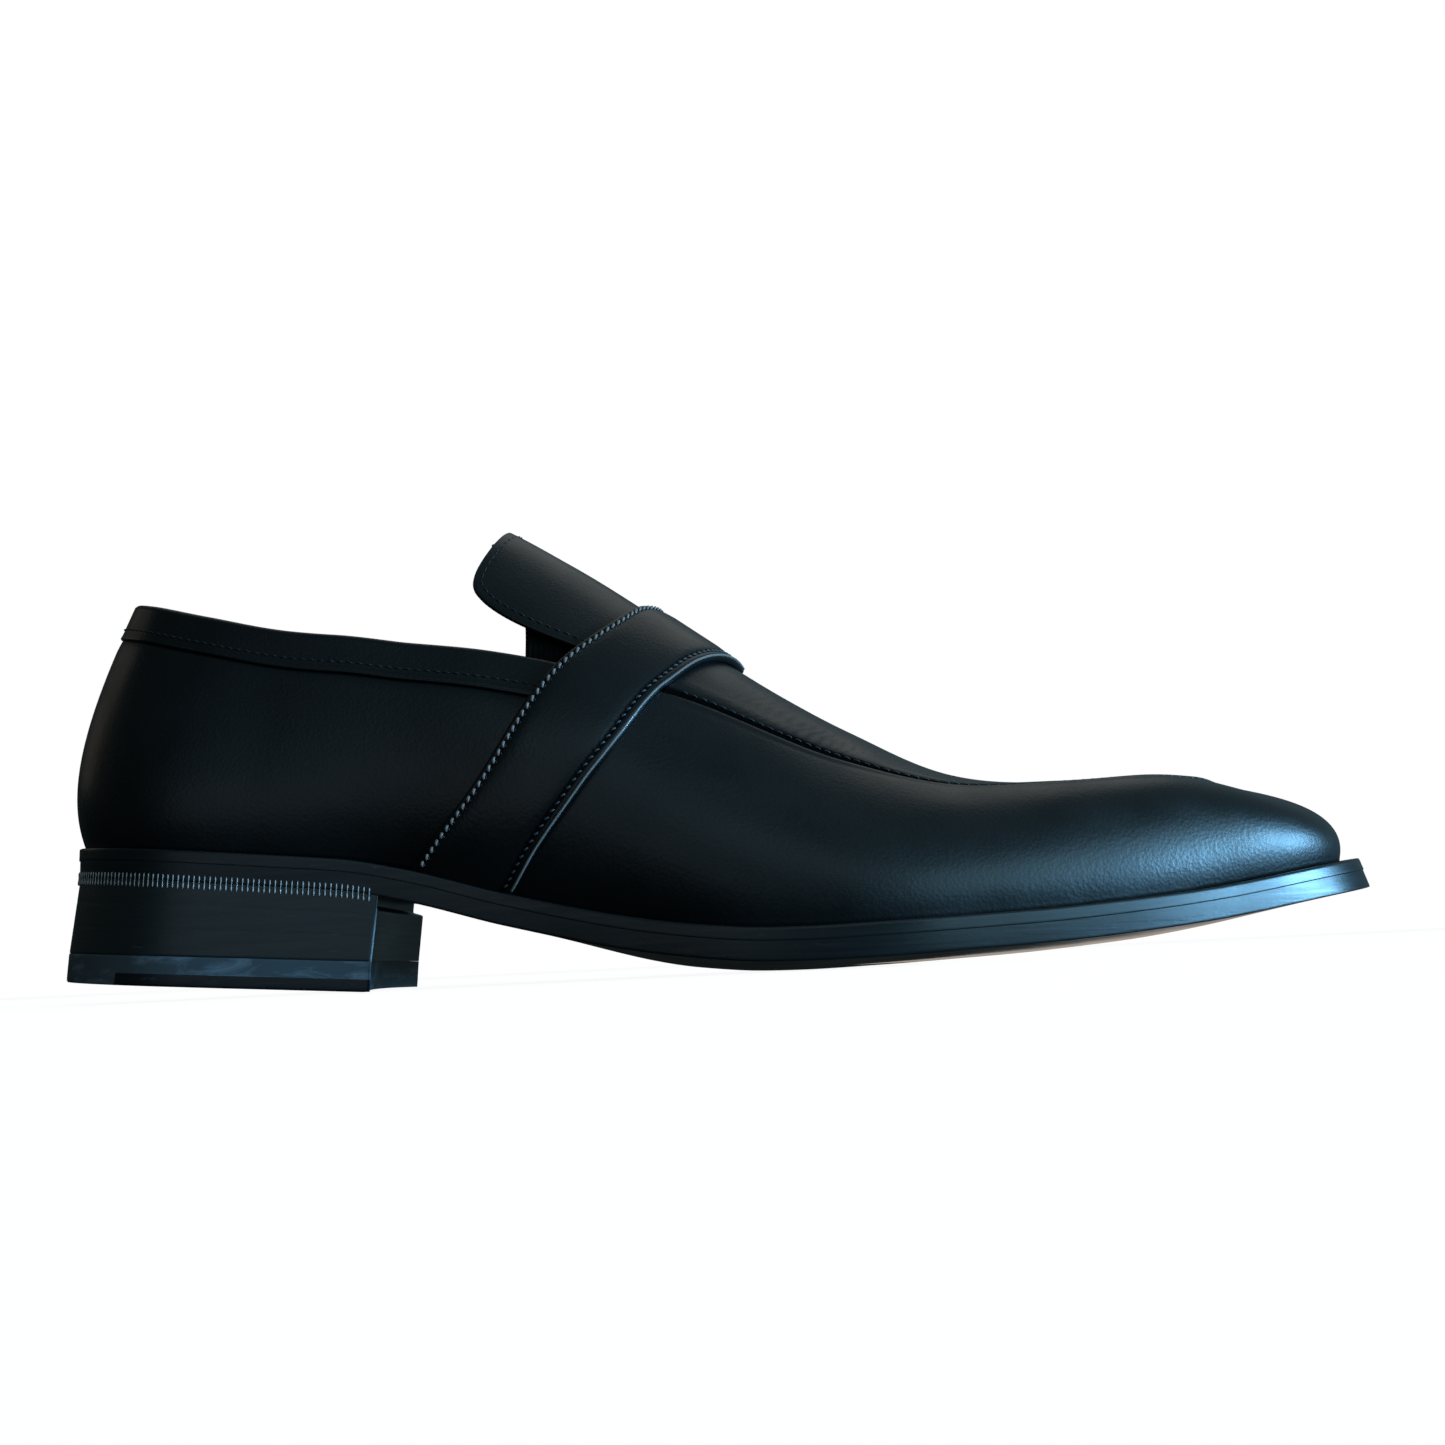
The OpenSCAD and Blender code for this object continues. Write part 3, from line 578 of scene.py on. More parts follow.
def rubber():
    """Moulded rubber, greyed by dust and scuffs along its length."""
    n = Nodes("heel_rubber")
    at = n.object_xyz()
    dust = n.span(n.noise(n.object_xyz((60, 60, 240)), 1.0, 6, 0.7, 0.8), 0.5, 0.75)
    n.set(Base_Color=n.mix(dust, rgb(0.08, 0.1, 0.115), rgb(0.26, 0.31, 0.36)))
    n.set(Roughness=n.span(n.noise(at, 500, 4), 0.3, 0.7, 0.48, 0.66))
    n.set(Normal=n.bump(n.noise(at, 1800, 3), 0.00007, 0.5))
    return n.material


def thread(name, colour):
    """Waxed thread: the twist of its plies in tone and height."""
    n = Nodes(name)
    twist = n.noise(n.object_xyz((1, 1, 1)), 3500, 2)
    n.set(Base_Color=n.mix(twist, rgb(*[c * 0.6 for c in colour]), rgb(*colour)), Roughness=0.5)
    n.set(Normal=n.bump(twist, 0.00008, 0.6), Coat_Weight=0.1)
    return n.material


def elastic():
    """Elastic gore: ribbed webbing, ribs running up and down."""
    n = Nodes("gore_elastic")
    wave = n.add("ShaderNodeTexWave", {"Vector": n.object_xyz(), "Scale": 260.0, "Distortion": 0.4})
    n.set(Base_Color=n.mix(wave.outputs["Fac"], rgb(0.001, 0.001, 0.0011), rgb(0.004, 0.004, 0.0042)))
    n.set(Roughness=0.85, Specular_IOR_Level=0.15, Normal=n.bump(wave.outputs["Fac"], 0.0002, 0.8))
    return n.material


def plain(name, low, high, rough, scale, metal=0.0):
    """Inner pieces that are seen only from behind or below: two tones of a noise, with its bump."""
    n = Nodes(name)
    grain = n.noise(n.object_xyz(), scale, 4)
    n.set(Base_Color=n.mix(grain, rgb(*low), rgb(*high)), Roughness=rough, Metallic=metal)
    n.set(Normal=n.bump(grain, 0.0001, 0.4))
    return n.material


# Leathers of the upper
UPPER = calf("upper_calf", (0.0034, 0.004, 0.0042), (0.0062, 0.0072, 0.0074))
STRAP_CALF = calf("strap_calf", (0.0036, 0.004, 0.0043), (0.0066, 0.0074, 0.0078), (0.3, 0.42))
PIPING = calf("burnished_edge", (0.003, 0.0034, 0.004), (0.006, 0.0066, 0.0074), (0.2, 0.3), 0.00003)
# Pale and glossy: painted highlight along the strap's rolled front lip.
LIP_HIGHLIGHT = calf("lip_painted_highlight", (0.22, 0.19, 0.18), (0.3, 0.26, 0.24), (0.14, 0.2), 0.00002)
LINING = lining_leather()
GORE = elastic()

# Threads, and the marks that tools leave: awl holes as near-black strands of painted shade, and wheel marks painted
# pale as their highlight
BLACK_THREAD = thread("black_thread", (0.02, 0.022, 0.025))
SEAM_THREAD = thread("seam_thread", (0.03, 0.035, 0.04))
FRONT_THREAD = thread("front_thread", (0.07, 0.078, 0.084))
STRAP_THREAD = thread("waxed_grey_thread", (0.4, 0.3, 0.27))
# Near-black: painted shade of the awl slots beside the strap's stitches.
AWL_SHADE = thread("awl_hole_shade", (0.0012, 0.0013, 0.0015))
# Pale: painted highlight of the wheeled marks round the heel.
WHEEL_MARK_HIGHLIGHT = thread("wheel_mark_highlight", (0.7, 0.6, 0.56))

# Sole and heel
WAX = edge_wax("edge_wax", (0.01, 0.012, 0.013))
HEEL_WAX = edge_wax("heel_wax", (0.026, 0.029, 0.028))
SOLE = sole_leather()
RUBBER = rubber()

# Inner pieces
BRASS = plain("nail_brass", (0.5, 0.36, 0.14), (0.75, 0.56, 0.26), 0.35, 900, 1.0)
STEEL = plain("shank_steel", (0.4, 0.41, 0.42), (0.6, 0.61, 0.62), 0.35, 700, 1.0)
CORK = plain("ground_cork", (0.3, 0.19, 0.1), (0.62, 0.44, 0.27), 0.9, 700)
BOARD = plain("leather_board", (0.34, 0.26, 0.18), (0.52, 0.42, 0.3), 0.8, 600)
FOAM = plain("latex_foam", (0.66, 0.6, 0.42), (0.84, 0.79, 0.6), 0.85, 1200)


def finish_piece(piece, body, slot, *nodes):
    """Gives a piece its body and hides the nodes that it replaces; slot is not used. A piece without a body is left
    unparented.
    """
    if body:
        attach(piece, body)
    if nodes:
        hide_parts(*nodes)
    return piece


# ---------------------------------------------------------------- upper
SEAM_GAP = 0.02


def quarter_grid(a0, a1, h0, h1, rows, cols, d):
    """Grid on the back of the upper, a from -1 at the inner strap to 1 at the outer strap, h from 0 at the sole to
    1 at the collar seam and 2 at the topline. d may be a function of a and h."""
    a, h = np.meshgrid(np.linspace(a0, a1, rows), np.linspace(h0, h1, cols), indexing="ij")
    c = collar_v(a * strap_mid(np.minimum(1, h)))
    v = np.where(h > 1, lerp(c, 1, h - 1), h * c)
    u = a * (strap_mid(v) - SEAM_GAP)
    return wall_off(u, v, d(a, h) if callable(d) else np.full_like(u, d))


def quarter_line(h, d, count=400, reach=0.86):
    """Line along the quarters at the height h of quarter_grid, d out of the surface, with its normals."""
    a = np.linspace(-reach, reach, count)[:, None]
    c = collar_v(a * strap_mid(np.full_like(a, min(1, h))))
    v = lerp(c, 1, h - 1) if h > 1 else h * c
    u = a * strap_mid(v)
    low, high = wall_off(u, v, np.zeros_like(u)), wall_off(u, v, np.ones_like(u))
    return (low + (high - low) * d)[:, 0], (high - low)[:, 0]


def quarters():
    """Two quarters that meet in the back seam. They dip into that seam and under the collar's edge."""
    def surface(a, h):
        seam = np.exp(-(a / 0.006) ** 2) * 0.45
        tuck = 0.25 * np.exp(-((1 - h) / 0.03) ** 2)
        return -seam - tuck
    for name, node, a0, a1 in (("lateral_quarter_calf", "lateral_quarter", 0.0015, 1.0),
                               ("medial_quarter_calf", "medial_quarter", -1.0, -0.0015)):
        grids = [quarter_grid(a0, a1, 0, 0.992, 150, 46, d) for d in (surface, -LEATHER_T)]
        finish_piece(shell(name, *grids, UPPER, bulge=0.3), "root", "upper_leather", node)


def collar():
    """Folded collar band with a corded seam along its lower edge."""
    def surface(a, h):
        turn = 0.35 * np.exp(-((h - 1.04) / 0.06) ** 2)
        return 0.28 + turn * 0.3 - 0.5 * smooth((h - 1.88) / 0.12) ** 2
    grids = [quarter_grid(-1, 1, 1.045, 1.97, 320, 16, d) for d in (surface, -LEATHER_T)]
    finish_piece(shell("collar_calf", *grids, UPPER, bulge=0.45), "root", "upper_leather", "top_collar")
    line, up = quarter_line(1.018, 0.02, reach=0.99)
    points, faces = tube_mesh(line, 0.42, 10, 1.0, up)
    finish_piece(mesh_object("collar_cord", points, faces, PIPING), "root", "upper_leather")
    line, up = quarter_line(1.26, 0.32, reach=0.97)
    row = stitches("collar_stitches", line, up, BLACK_THREAD, 2.3, 1.75, 0.17, 0, -0.02)
    finish_piece(row, "root", "upper_leather")


def vamp_places(v_lines, rows):
    """Ribs and wall places of a grid on the front wall round the toe, from the outer strap to the inner one."""
    a, v = np.meshgrid(np.linspace(-1, 1, rows), v_lines, indexing="ij")
    u = lerp(RIBS, strap_mid(v) + SEAM_GAP, np.abs(a))
    return np.where(a < 0, u, 2 * RIBS - u), v


FOOT_IN_WELT = 0.6
RIDGE_V = 0.035


def sunk(grid):
    """The same grid with its foot let into the welt, so that no light shows between upper and sole."""
    grid[:, 0, 2] -= FOOT_IN_WELT
    return grid


def shade_shell(piece, values):
    """Shades both faces of a shell by the same values, and its rim fully."""
    rim = np.ones(len(piece.data.vertices) - 2 * values.size)
    shade(piece, np.concatenate([values.ravel(), values.ravel(), rim]))


def seam_ridge(v):
    """Turned edge of the vamp: it rises to a rounded ridge just before the apron seam and rolls down into it."""
    s = (1 - v) / RIDGE_V
    return 0.1 * np.exp(-((s - 0.5) / 0.4) ** 2) - 0.04 * np.exp(-((s - 1.4) / 0.45) ** 2)


def vamp():
    """Side piece round the toe, with finer lines at the apron seam, where its edge is turned, and with painted shade
    along that seam.
    """
    v_lines = np.concatenate([np.linspace(0, 0.86, 40), np.linspace(0.865, 0.995, 22)])
    u, v = vamp_places(v_lines, 360)
    fade = smooth((RIBS - 6.2 - np.abs(u - RIBS)) / 0.8) * 0.85 + 0.15
    outer = sunk(wall_off(u, v, seam_ridge(v) * fade))
    inner = sunk(wall_off(u, v, np.full_like(u, -LEATHER_T)))
    piece = shell("vamp_calf", outer, inner, UPPER, bulge=0.25)
    # Painted shade: the vamp is darkened and dulled just below the apron seam, where it runs under the apron's edge.
    seam_shade_share = smooth(1 - (1 - v) / 0.014) * 0.9
    shade_shell(piece, seam_shade_share)
    finish_piece(piece, "root", "upper_leather", "vamp")


# Places of the two patches of creases, along the ribs and across the half width
CREASE_U = (7.92, 7.4)
CREASE_W = (0.82, 0.72)


def creases(u, w):
    """Fine walking creases across the apron where it bends: short slanting folds in two soft-edged patches on each
    side, strongest near the seam."""
    side = np.abs(w)
    strong = np.exp(-((u - CREASE_U[0]) / 0.26) ** 2) * np.exp(-((side - CREASE_W[0]) / 0.17) ** 2)
    faint = np.exp(-((u - CREASE_U[1]) / 0.3) ** 2) * np.exp(-((side - CREASE_W[1]) / 0.25) ** 2)
    slant = u + 0.42 * (side - 0.8)
    fold = np.sin((slant + 0.02 * np.sin(31 * side + 9 * u)) * 78) * (0.62 + 0.38 * np.sin(47 * side + 6.3 * u))
    cross = 0.4 * np.sin((u - 0.25 * side) * 57 + 1.1) * np.sin(39 * side)
    return 0.13 * (strong + 0.4 * faint) * (fold + cross)


def half_width(u):
    """Half the width of the instep between its brims, at rib u."""
    return np.maximum(brim(-u)[..., 1] - brim(u)[..., 1], 1) / 2


def apron():
    """Apron with its border let down into a stitched groove, painted dark as its shade, and walking creases over the
    ball.
    """
    u, w = np.meshgrid(np.linspace(6.45, RIBS - 0.18, 420), np.linspace(-1, 1, 96), indexing="ij")
    half = half_width(u)
    w = w * (1 - 0.4 / half)
    near = (1 - np.abs(w)) * half
    dip = -0.6 * np.exp(-(near / 1.1) ** 2) + 0.12 * np.exp(-((near - 3.2) / 1.3) ** 2)
    outer = crown_off(u, w, dip + creases(u, w))
    inner = crown_off(u, w, np.full_like(u, -LEATHER_T))
    piece = shell("apron_calf", outer, inner, UPPER, bulge=0.2)
    # Painted shade: the apron is darkened and dulled in its sunk border, over a width deep from the edge.
    deep = 1.5 + 0.9 * smooth((u - 7.0) / 1.0) - 0.5 * smooth((u - 9.5) / 2)
    dark = smooth((deep - near) / 0.5)
    shade_shell(piece, dark)
    finish_piece(piece, "root", "upper_leather", "apron")
    u = np.concatenate([np.linspace(6.7, 13.72, 500), np.linspace(13.72, 6.7, 500)])
    side = np.repeat([-1.0, 1.0], 500)
    half = half_width(u)
    w = side * (1 - 1.3 / half)
    line = crown_off(u, w, np.full_like(u, -0.12))
    up = crown_off(u, w, np.ones_like(u)) - line
    row = stitches("apron_stitches", line, up, SEAM_THREAD, 2.3, 1.7, 0.16, 0, -0.03)
    finish_piece(row, "root", "upper_leather")


def linings():
    """Linings of the quarters, the vamp and the apron, each a plain sheet inside the stiffeners."""
    depths = (LINING_OUT, LINING_IN)
    quarter = [quarter_grid(-1, 1, 0, 2.0, 200, 40, d) for d in depths]
    u, v = vamp_places(np.linspace(0, 0.96, 24), 300)
    front = [wall_off(u, v, np.full_like(u, d)) for d in depths]
    u, w = np.meshgrid(np.linspace(6.5, 13, 80), np.linspace(-0.9, 0.9, 24), indexing="ij")
    over = [crown_off(u, w, np.full_like(u, d)) for d in depths]
    for name, grids, node in (("quarter_lining_calf", quarter, "quarter_lining"),
                              ("vamp_lining_calf", front, "vamp_lining"),
                              ("apron_lining_calf", over, "apron_lining")):
        finish_piece(shell(name, *grids, LINING, bulge=0.4), "root", "lining_leather", node)


def tongue_grid(share, u_front, rows, cols, d):
    """Tongue from its round rear end to the place under the strap. Lines of equal share of the half width run
    along it, and the rear border follows the end's curve."""
    s, t = np.meshgrid(np.linspace(-1, 1, cols), np.linspace(0, 1, rows))
    u = lerp(TONGUE[0, 0] + (1 - share) * 0.5, u_front(s), t ** 1.9)
    w = s * share * np.where(s < 0, along(TONGUE, u, 1), along(TONGUE, u, 2))
    return crown_off(u, w, d(s, t) if callable(d) else np.full_like(u, d))


def tongue_hem(count=500, inset=1.9):
    """Line that runs an inset inside the tongue's side and end, with its normals. The border's evenly spaced points
    are moved in along the surface and then dropped back onto it."""
    u = TONGUE[0, 0] + 0.002 + 1.42 * np.linspace(1, 0, 300) ** 2.5
    inner = np.stack([u, along(TONGUE, u, 2)], -1)
    outer = np.stack([u, -along(TONGUE, u, 1)], -1)[::-1]
    uw = np.concatenate([inner, outer])
    rim = crown(uw[:, 0], uw[:, 1])
    rim_line = even(rim, count)
    way = np.concatenate([[0], np.cumsum(np.linalg.norm(np.diff(rim, axis=0), axis=1))])
    s = np.linspace(0, 1, count)
    uw = np.stack([np.interp(s, way / way[-1], uw[:, k]) for k in (0, 1)], -1)
    e = 0.01
    normal = unit(np.cross(crown(uw[:, 0] + e, uw[:, 1]) - crown(uw[:, 0] - e, uw[:, 1]),
                           crown(uw[:, 0], uw[:, 1] + e) - crown(uw[:, 0], uw[:, 1] - e)))
    way_in = unit(np.cross(normal, np.gradient(rim_line, axis=0)))
    way_in *= -np.sign(np.sum(way_in * (rim_line - rim_line.mean(0)), -1).mean())
    want = rim_line + way_in * inset
    near = np.meshgrid(np.linspace(4.3, 6.0, 220), np.linspace(-1, 1, 160), indexing="ij")
    surface = crown(near[0].ravel(), near[1].ravel())
    pick = np.array([np.argmin(np.sum((surface - q) ** 2, -1)) for q in want])
    return want - normal * np.sum((want - surface[pick]) * normal, -1, keepdims=True), normal


def under_strap(reach):
    """Front end of a layer of the tongue: rib of the strap's rear edge, moved forward by reach, for each share s of
    the half width."""
    return lambda s: strap_edge(1.5 - np.abs(s) * 0.44, 1) + reach


def tongue():
    """Tongue leather, one sheet running past the hinge line at the strap's rear edge, with its lining and its hem
    stitches.
    """
    grids = [tongue_grid(1.0, under_strap(0.28), 150, 90, d) for d in (0, -LEATHER_T)]
    piece = shell("tongue_calf", *grids, UPPER, bulge=0.5)
    finish_piece(piece, None, "upper_leather", "tongue_flap", "tongue_base")
    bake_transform(piece)
    d_out = -LEATHER_T - 2 * GAP
    grids = [tongue_grid(0.95, under_strap(-0.05), 120, 70, d) for d in (d_out, d_out - LINING_T)]
    piece = shell("tongue_lining_calf", *grids, LINING, bulge=0.45)
    finish_piece(piece, "tongue", "lining_leather", "tongue_lining")
    row = stitches("tongue_stitches", *tongue_hem(), BLACK_THREAD, 2.3, 1.8, 0.17, 0, 0.0)
    finish_piece(row, "tongue", "upper_leather")


def gores():
    """Elastic gores between the topline and the tongue. Their upper edge lies under the tongue's side."""
    d_out = -LEATHER_T - LINING_T - 4 * GAP
    for name, node, side in (("lateral_gore_elastic", "lateral_gore", -1),
                             ("medial_gore_elastic", "medial_gore", 1)):
        along_it, t = np.meshgrid(np.linspace(0, 1, 40), np.linspace(0, 1, 16), indexing="ij")
        u = lerp(lerp(5.01, 5.24, t), 5.95, along_it)
        w = lerp(0.8, 0.965, t)
        if side < 0:
            u, w = u[:, ::-1], -w[:, ::-1]
        grids = [crown_off(u, w, np.full_like(u, d)) for d in (d_out, d_out - 0.8)]
        piece = finish_piece(shell(name, *grids, GORE, bulge=0.35), None, "gore_elastic", node)
        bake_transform(piece)


STRAP_FLOAT = 0.45 * 0.2
STRAP_T = 2.15
PROFILE_T = 2.2
STRAP_DOME = 0.25


def strap_profile():
    """Section of the strap as (place, height) once round: flat underside, rear edge turned down, stitch groove
    inside each edge, gently domed middle and a rolled bead at the front edge. Places are millimetres from the rear
    edge in the first list, and from the front edge in the second."""
    rear = [(0.35, 0.0), (0.05, 0.35), (0.0, 0.9), (0.12, 1.45), (0.45, 1.8), (0.9, 1.9), (1.35, 1.78),
            (1.75, 1.74), (2.2, 1.85), (2.9, 2.0), (4.0, 2.12), (6.0, 2.22)]
    front = [(6.0, 2.22), (4.2, 2.14), (3.3, 2.02), (2.75, 1.86), (2.35, 1.78), (1.95, 1.86), (1.5, 2.02),
             (1.05, 2.1), (0.55, 2.0), (0.2, 1.7), (0.02, 1.25), (0.0, 0.8), (0.12, 0.3), (0.5, 0.0)]
    return rear, front


def strap():
    """Saddle strap: the section carried across the shoe from welt to welt."""
    q = np.linspace(0.012, 2.988, 420)
    lo = across(strap_edge(q, 1), q, 0)
    hi = across(strap_edge(q, 2), q, 0)
    width = np.linalg.norm(hi - lo, axis=-1)
    rear, front = strap_profile()
    places = np.array([place for place, height in rear + front])
    heights = np.array([height for place, height in rear + front]) * (STRAP_T / PROFILE_T)
    is_front = np.arange(len(places)) >= len(rear)
    t = np.where(is_front[None], 1 - places[None] / width[:, None], places[None] / width[:, None])
    dome = STRAP_DOME * np.sin(np.pi * t)
    u = lerp(strap_edge(q, 1)[:, None], strap_edge(q, 2)[:, None], t)
    qq = np.broadcast_to(q[:, None], u.shape)
    foot = smooth((np.minimum(q, 3 - q) - 0.012) / 0.05)[:, None]
    grid = across(u, qq, STRAP_FLOAT + heights[None] + dome * foot)
    rows, cols = grid.shape[:2]
    caps = [list(range(cols))[::-1], [(rows - 1) * cols + c for c in range(cols)]]
    faces = ring_faces(rows, cols, flip=True).tolist() + caps
    piece = mesh_object("saddle_strap_calf", grid.reshape(-1, 3), faces, STRAP_CALF)
    # Painted shade: the strap is darkened and dulled along its two sunk stitch grooves.
    from_rear, from_front = t * width[:, None], (1 - t) * width[:, None]
    dark = np.maximum(smooth((0.75 - np.abs(from_rear - 1.55)) / 0.35),
                      smooth((0.7 - np.abs(from_front - 2.35)) / 0.3))
    shade(piece, 0.85 * dark.ravel())
    finish_piece(piece, "root", "strap_leather", "saddle_strap", "strap_lining")

    def row_line(k, inset, height):
        # Line that runs an inset inside the rear edge (k = 1) or the front edge (k = 2), with its normals
        t = inset / width if k == 1 else 1 - inset / width
        u = lerp(strap_edge(q, 1), strap_edge(q, 2), t)
        high = STRAP_FLOAT + height * STRAP_T / PROFILE_T + STRAP_DOME * np.sin(np.pi * t)
        line = across(u, q, high)
        return line[4:-4], (across(u, q, high + 1) - line)[4:-4]
    # The awl rows are near-black strands on the surface: painted shade of the awl slots.
    for name, k, inset, material, length, radius, slant in (
            ("strap_rear_stitches", 1, 1.5, STRAP_THREAD, 1.8, 0.36, 24),
            ("strap_rear_awl_shade", 1, 1.95, AWL_SHADE, 1.5, 0.2, 62),
            ("strap_front_stitches", 2, 2.25, FRONT_THREAD, 1.6, 0.24, 24),
            ("strap_front_awl_shade", 2, 2.6, AWL_SHADE, 1.3, 0.18, 62)):
        line, up = row_line(k, inset, 1.78)
        row = stitches(name, line, up, material, 2.0, length, radius, slant if k == 1 else -slant, 0.0)
        finish_piece(row, "root", "strap_leather")
    # A pale cord along the front bead: painted highlight of the rolled lip.
    line, up = row_line(2, 0.42, 1.86)
    points, faces = tube_mesh(line, 0.3, 8)
    finish_piece(mesh_object("strap_lip_highlight", points, faces, LIP_HIGHLIGHT), "root", "strap_leather")


# ---------------------------------------------------------------- bottom
def tread_crown(x):
    """Depth of the rounded ball below the sole's edge."""
    return SOLE_CROWN * smooth((x / KX + 45) / 40) * smooth((152 - x / KX) / 60)


def ladder(u, w, extra, h, z):
    """Grid that fills the sole's outline: lines across it between the two sides."""
    p = lerp(edge(u, extra, h), edge(-u, extra, h), ((w + 1) / 2)[..., None])
    return np.stack([p[..., 0], p[..., 1], z(p[..., 0], w)], -1)


def rib_rows(first, last, count):
    """Ribs between two places, closer together at both ends."""
    t = (1 - np.cos(np.linspace(0, math.pi, count))) / 2
    return lerp(first, last, t)


def outsole():
    """Outsole with a flat, slightly rounded edge. The rounded ball drops below the edge."""
    sides = np.sin(np.linspace(-1, 1, 49) * math.pi / 2)
    u, w = np.meshgrid(rib_rows(0.012, RIBS - 0.012, 260), sides, indexing="ij")
    inset = -0.35
    top = ladder(u, w, inset, 0.64, lambda x, w: sole_top(x) - WELT_T - 0.02)
    low = ladder(u, w, inset, 0, lambda x, w: sole_top(x) - SOLE_T - tread_crown(x) * (1 - w * w))
    points, faces = shell_mesh(top, low, FLAT_RIM, -inset)
    piece = mesh_object("outsole_leather", points, faces.tolist(), SOLE)
    n = u.size
    share = np.zeros(len(points), np.float32)
    inward = (1 - np.abs(w)) * np.maximum(edge(-u)[..., 1] - edge(u)[..., 1], 1) / 2
    ends = np.minimum(u, RIBS - u) * 9
    share[n:2 * n] = smooth((np.minimum(inward, ends) - 0.6) / 0.8).reshape(-1)
    mark(piece, "underside", share)
    finish_piece(piece, "root", "sole_leather", "outsole")


def welt():
    """Welt and heel rand as one ring of waxed leather: a section of rounded corners carried round the shoe."""
    u = np.linspace(0, 2 * RIBS, 720, endpoint=False)
    section = np.array([[-6, 0.0], [-1.0, 0.0], [-0.4, -0.02], [-0.15, -0.1], [-0.03, -0.3], [0, -0.7],
                        [0, -1.6], [0.02, -2.2], [0.03, -2.6], [0.0, -2.84], [-0.3, -2.9], [-6, -2.38]])
    p = np.stack([edge(u, s, 1 + z / SOLE_T) if s > -5 else outline(u, np.full_like(u, -6.0))
                  for s, z in section], 1)
    grid = np.concatenate([p, (sole_top(p[..., 0]) + section[:, 1])[..., None]], -1)
    rows, cols = grid.shape[:2]
    i, j = np.meshgrid(np.arange(rows), np.arange(cols), indexing="ij")
    r, c = (i + 1) % rows, (j + 1) % cols
    quads = np.stack([i * cols + j, i * cols + c, r * cols + c, r * cols + j], -1).reshape(-1, 4)
    piece = mesh_object("welt_ring", grid.reshape(-1, 3), quads.tolist(), WAX)
    finish_piece(piece, "root", "sole_edge", "welt", "heel_rand")


HEEL_X = -76 * KX
SEAT_ANGLE = math.atan(HEEL_RISE * SEAT_FALL / KX)
HEEL_PITCH = math.radians(4.2)
HEEL_TOP = float(sole_top(HEEL_X)) - SOLE_T - GAP
TREAD_X = HEEL_X - HEEL_TOP * math.sin(SEAT_ANGLE)
TREAD_L = HEEL_X - float(edge(np.zeros(1))[0, 0])
BREAST_HOLLOW = 5.0
BREAST_SKEW = math.radians(3.3)
TOP_PIECE_T = 6.6
FLARE = 0.3


def heel_outline(extra, count=240):
    """Heel's plan as a closed loop with a hollow, slightly skewed breast, measured from the heel's front. The loop
    is softened a little, so that its two front corners are rounded."""
    u = np.linspace(-4.4, 4.4, 2001)
    p = edge(u, extra)
    front = HEEL_X - math.tan(BREAST_SKEW) * p[:, 1]
    p = p[p[:, 0] <= front]
    y = np.linspace(p[-1, 1], p[0, 1], 160)
    half = (p[0, 1] - p[-1, 1]) / 2
    hollow = BREAST_HOLLOW * 0.86 * (1 - ((y - y.mean()) / half) ** 2)
    breast = np.stack([HEEL_X - math.tan(BREAST_SKEW) * y - hollow, y], -1)
    loop = np.concatenate([p, breast[1:-1], p[:1]])
    dense = even(np.column_stack([loop, np.zeros(len(loop))]), 2401)[:-1, :2]
    for _ in range(22):
        dense = 0.25 * np.roll(dense, 1, 0) + 0.5 * dense + 0.25 * np.roll(dense, -1, 0)
    turn = np.abs(np.cross(unit(np.roll(dense, -8, 0) - dense), unit(dense - np.roll(dense, 8, 0))))
    weight = np.cumsum(1 + 60 * turn / max(turn.max(), 1e-6))
    want = np.linspace(weight[0], weight[-1], count, endpoint=False)
    pick = np.searchsorted(weight, want)
    return dense[pick] - [HEEL_X, 0]


def tread_level(p, z):
    """Loop of the heel's plan laid parallel to the tread, z above it."""
    return np.stack([TREAD_X + p[:, 0] * math.cos(HEEL_PITCH) + z * math.sin(HEEL_PITCH), p[:, 1],
                     z * math.cos(HEEL_PITCH) - p[:, 0] * math.sin(HEEL_PITCH)], -1)


def seat_level(p):
    """Loop of the heel's plan laid against the sole's underside."""
    x = HEEL_X + p[:, 0] * math.cos(SEAT_ANGLE)
    return np.stack([x, p[:, 1], sole_top(x) - SOLE_T + 0.12], -1)


def loft(name, levels, material):
    """Closed solid through a stack of loops, lowest first, with a flat face at each end."""
    grid = np.array(levels)
    rows, cols = grid.shape[:2]
    return mesh_object(name, grid.reshape(-1, 3), strand_faces(1, rows, cols), material)


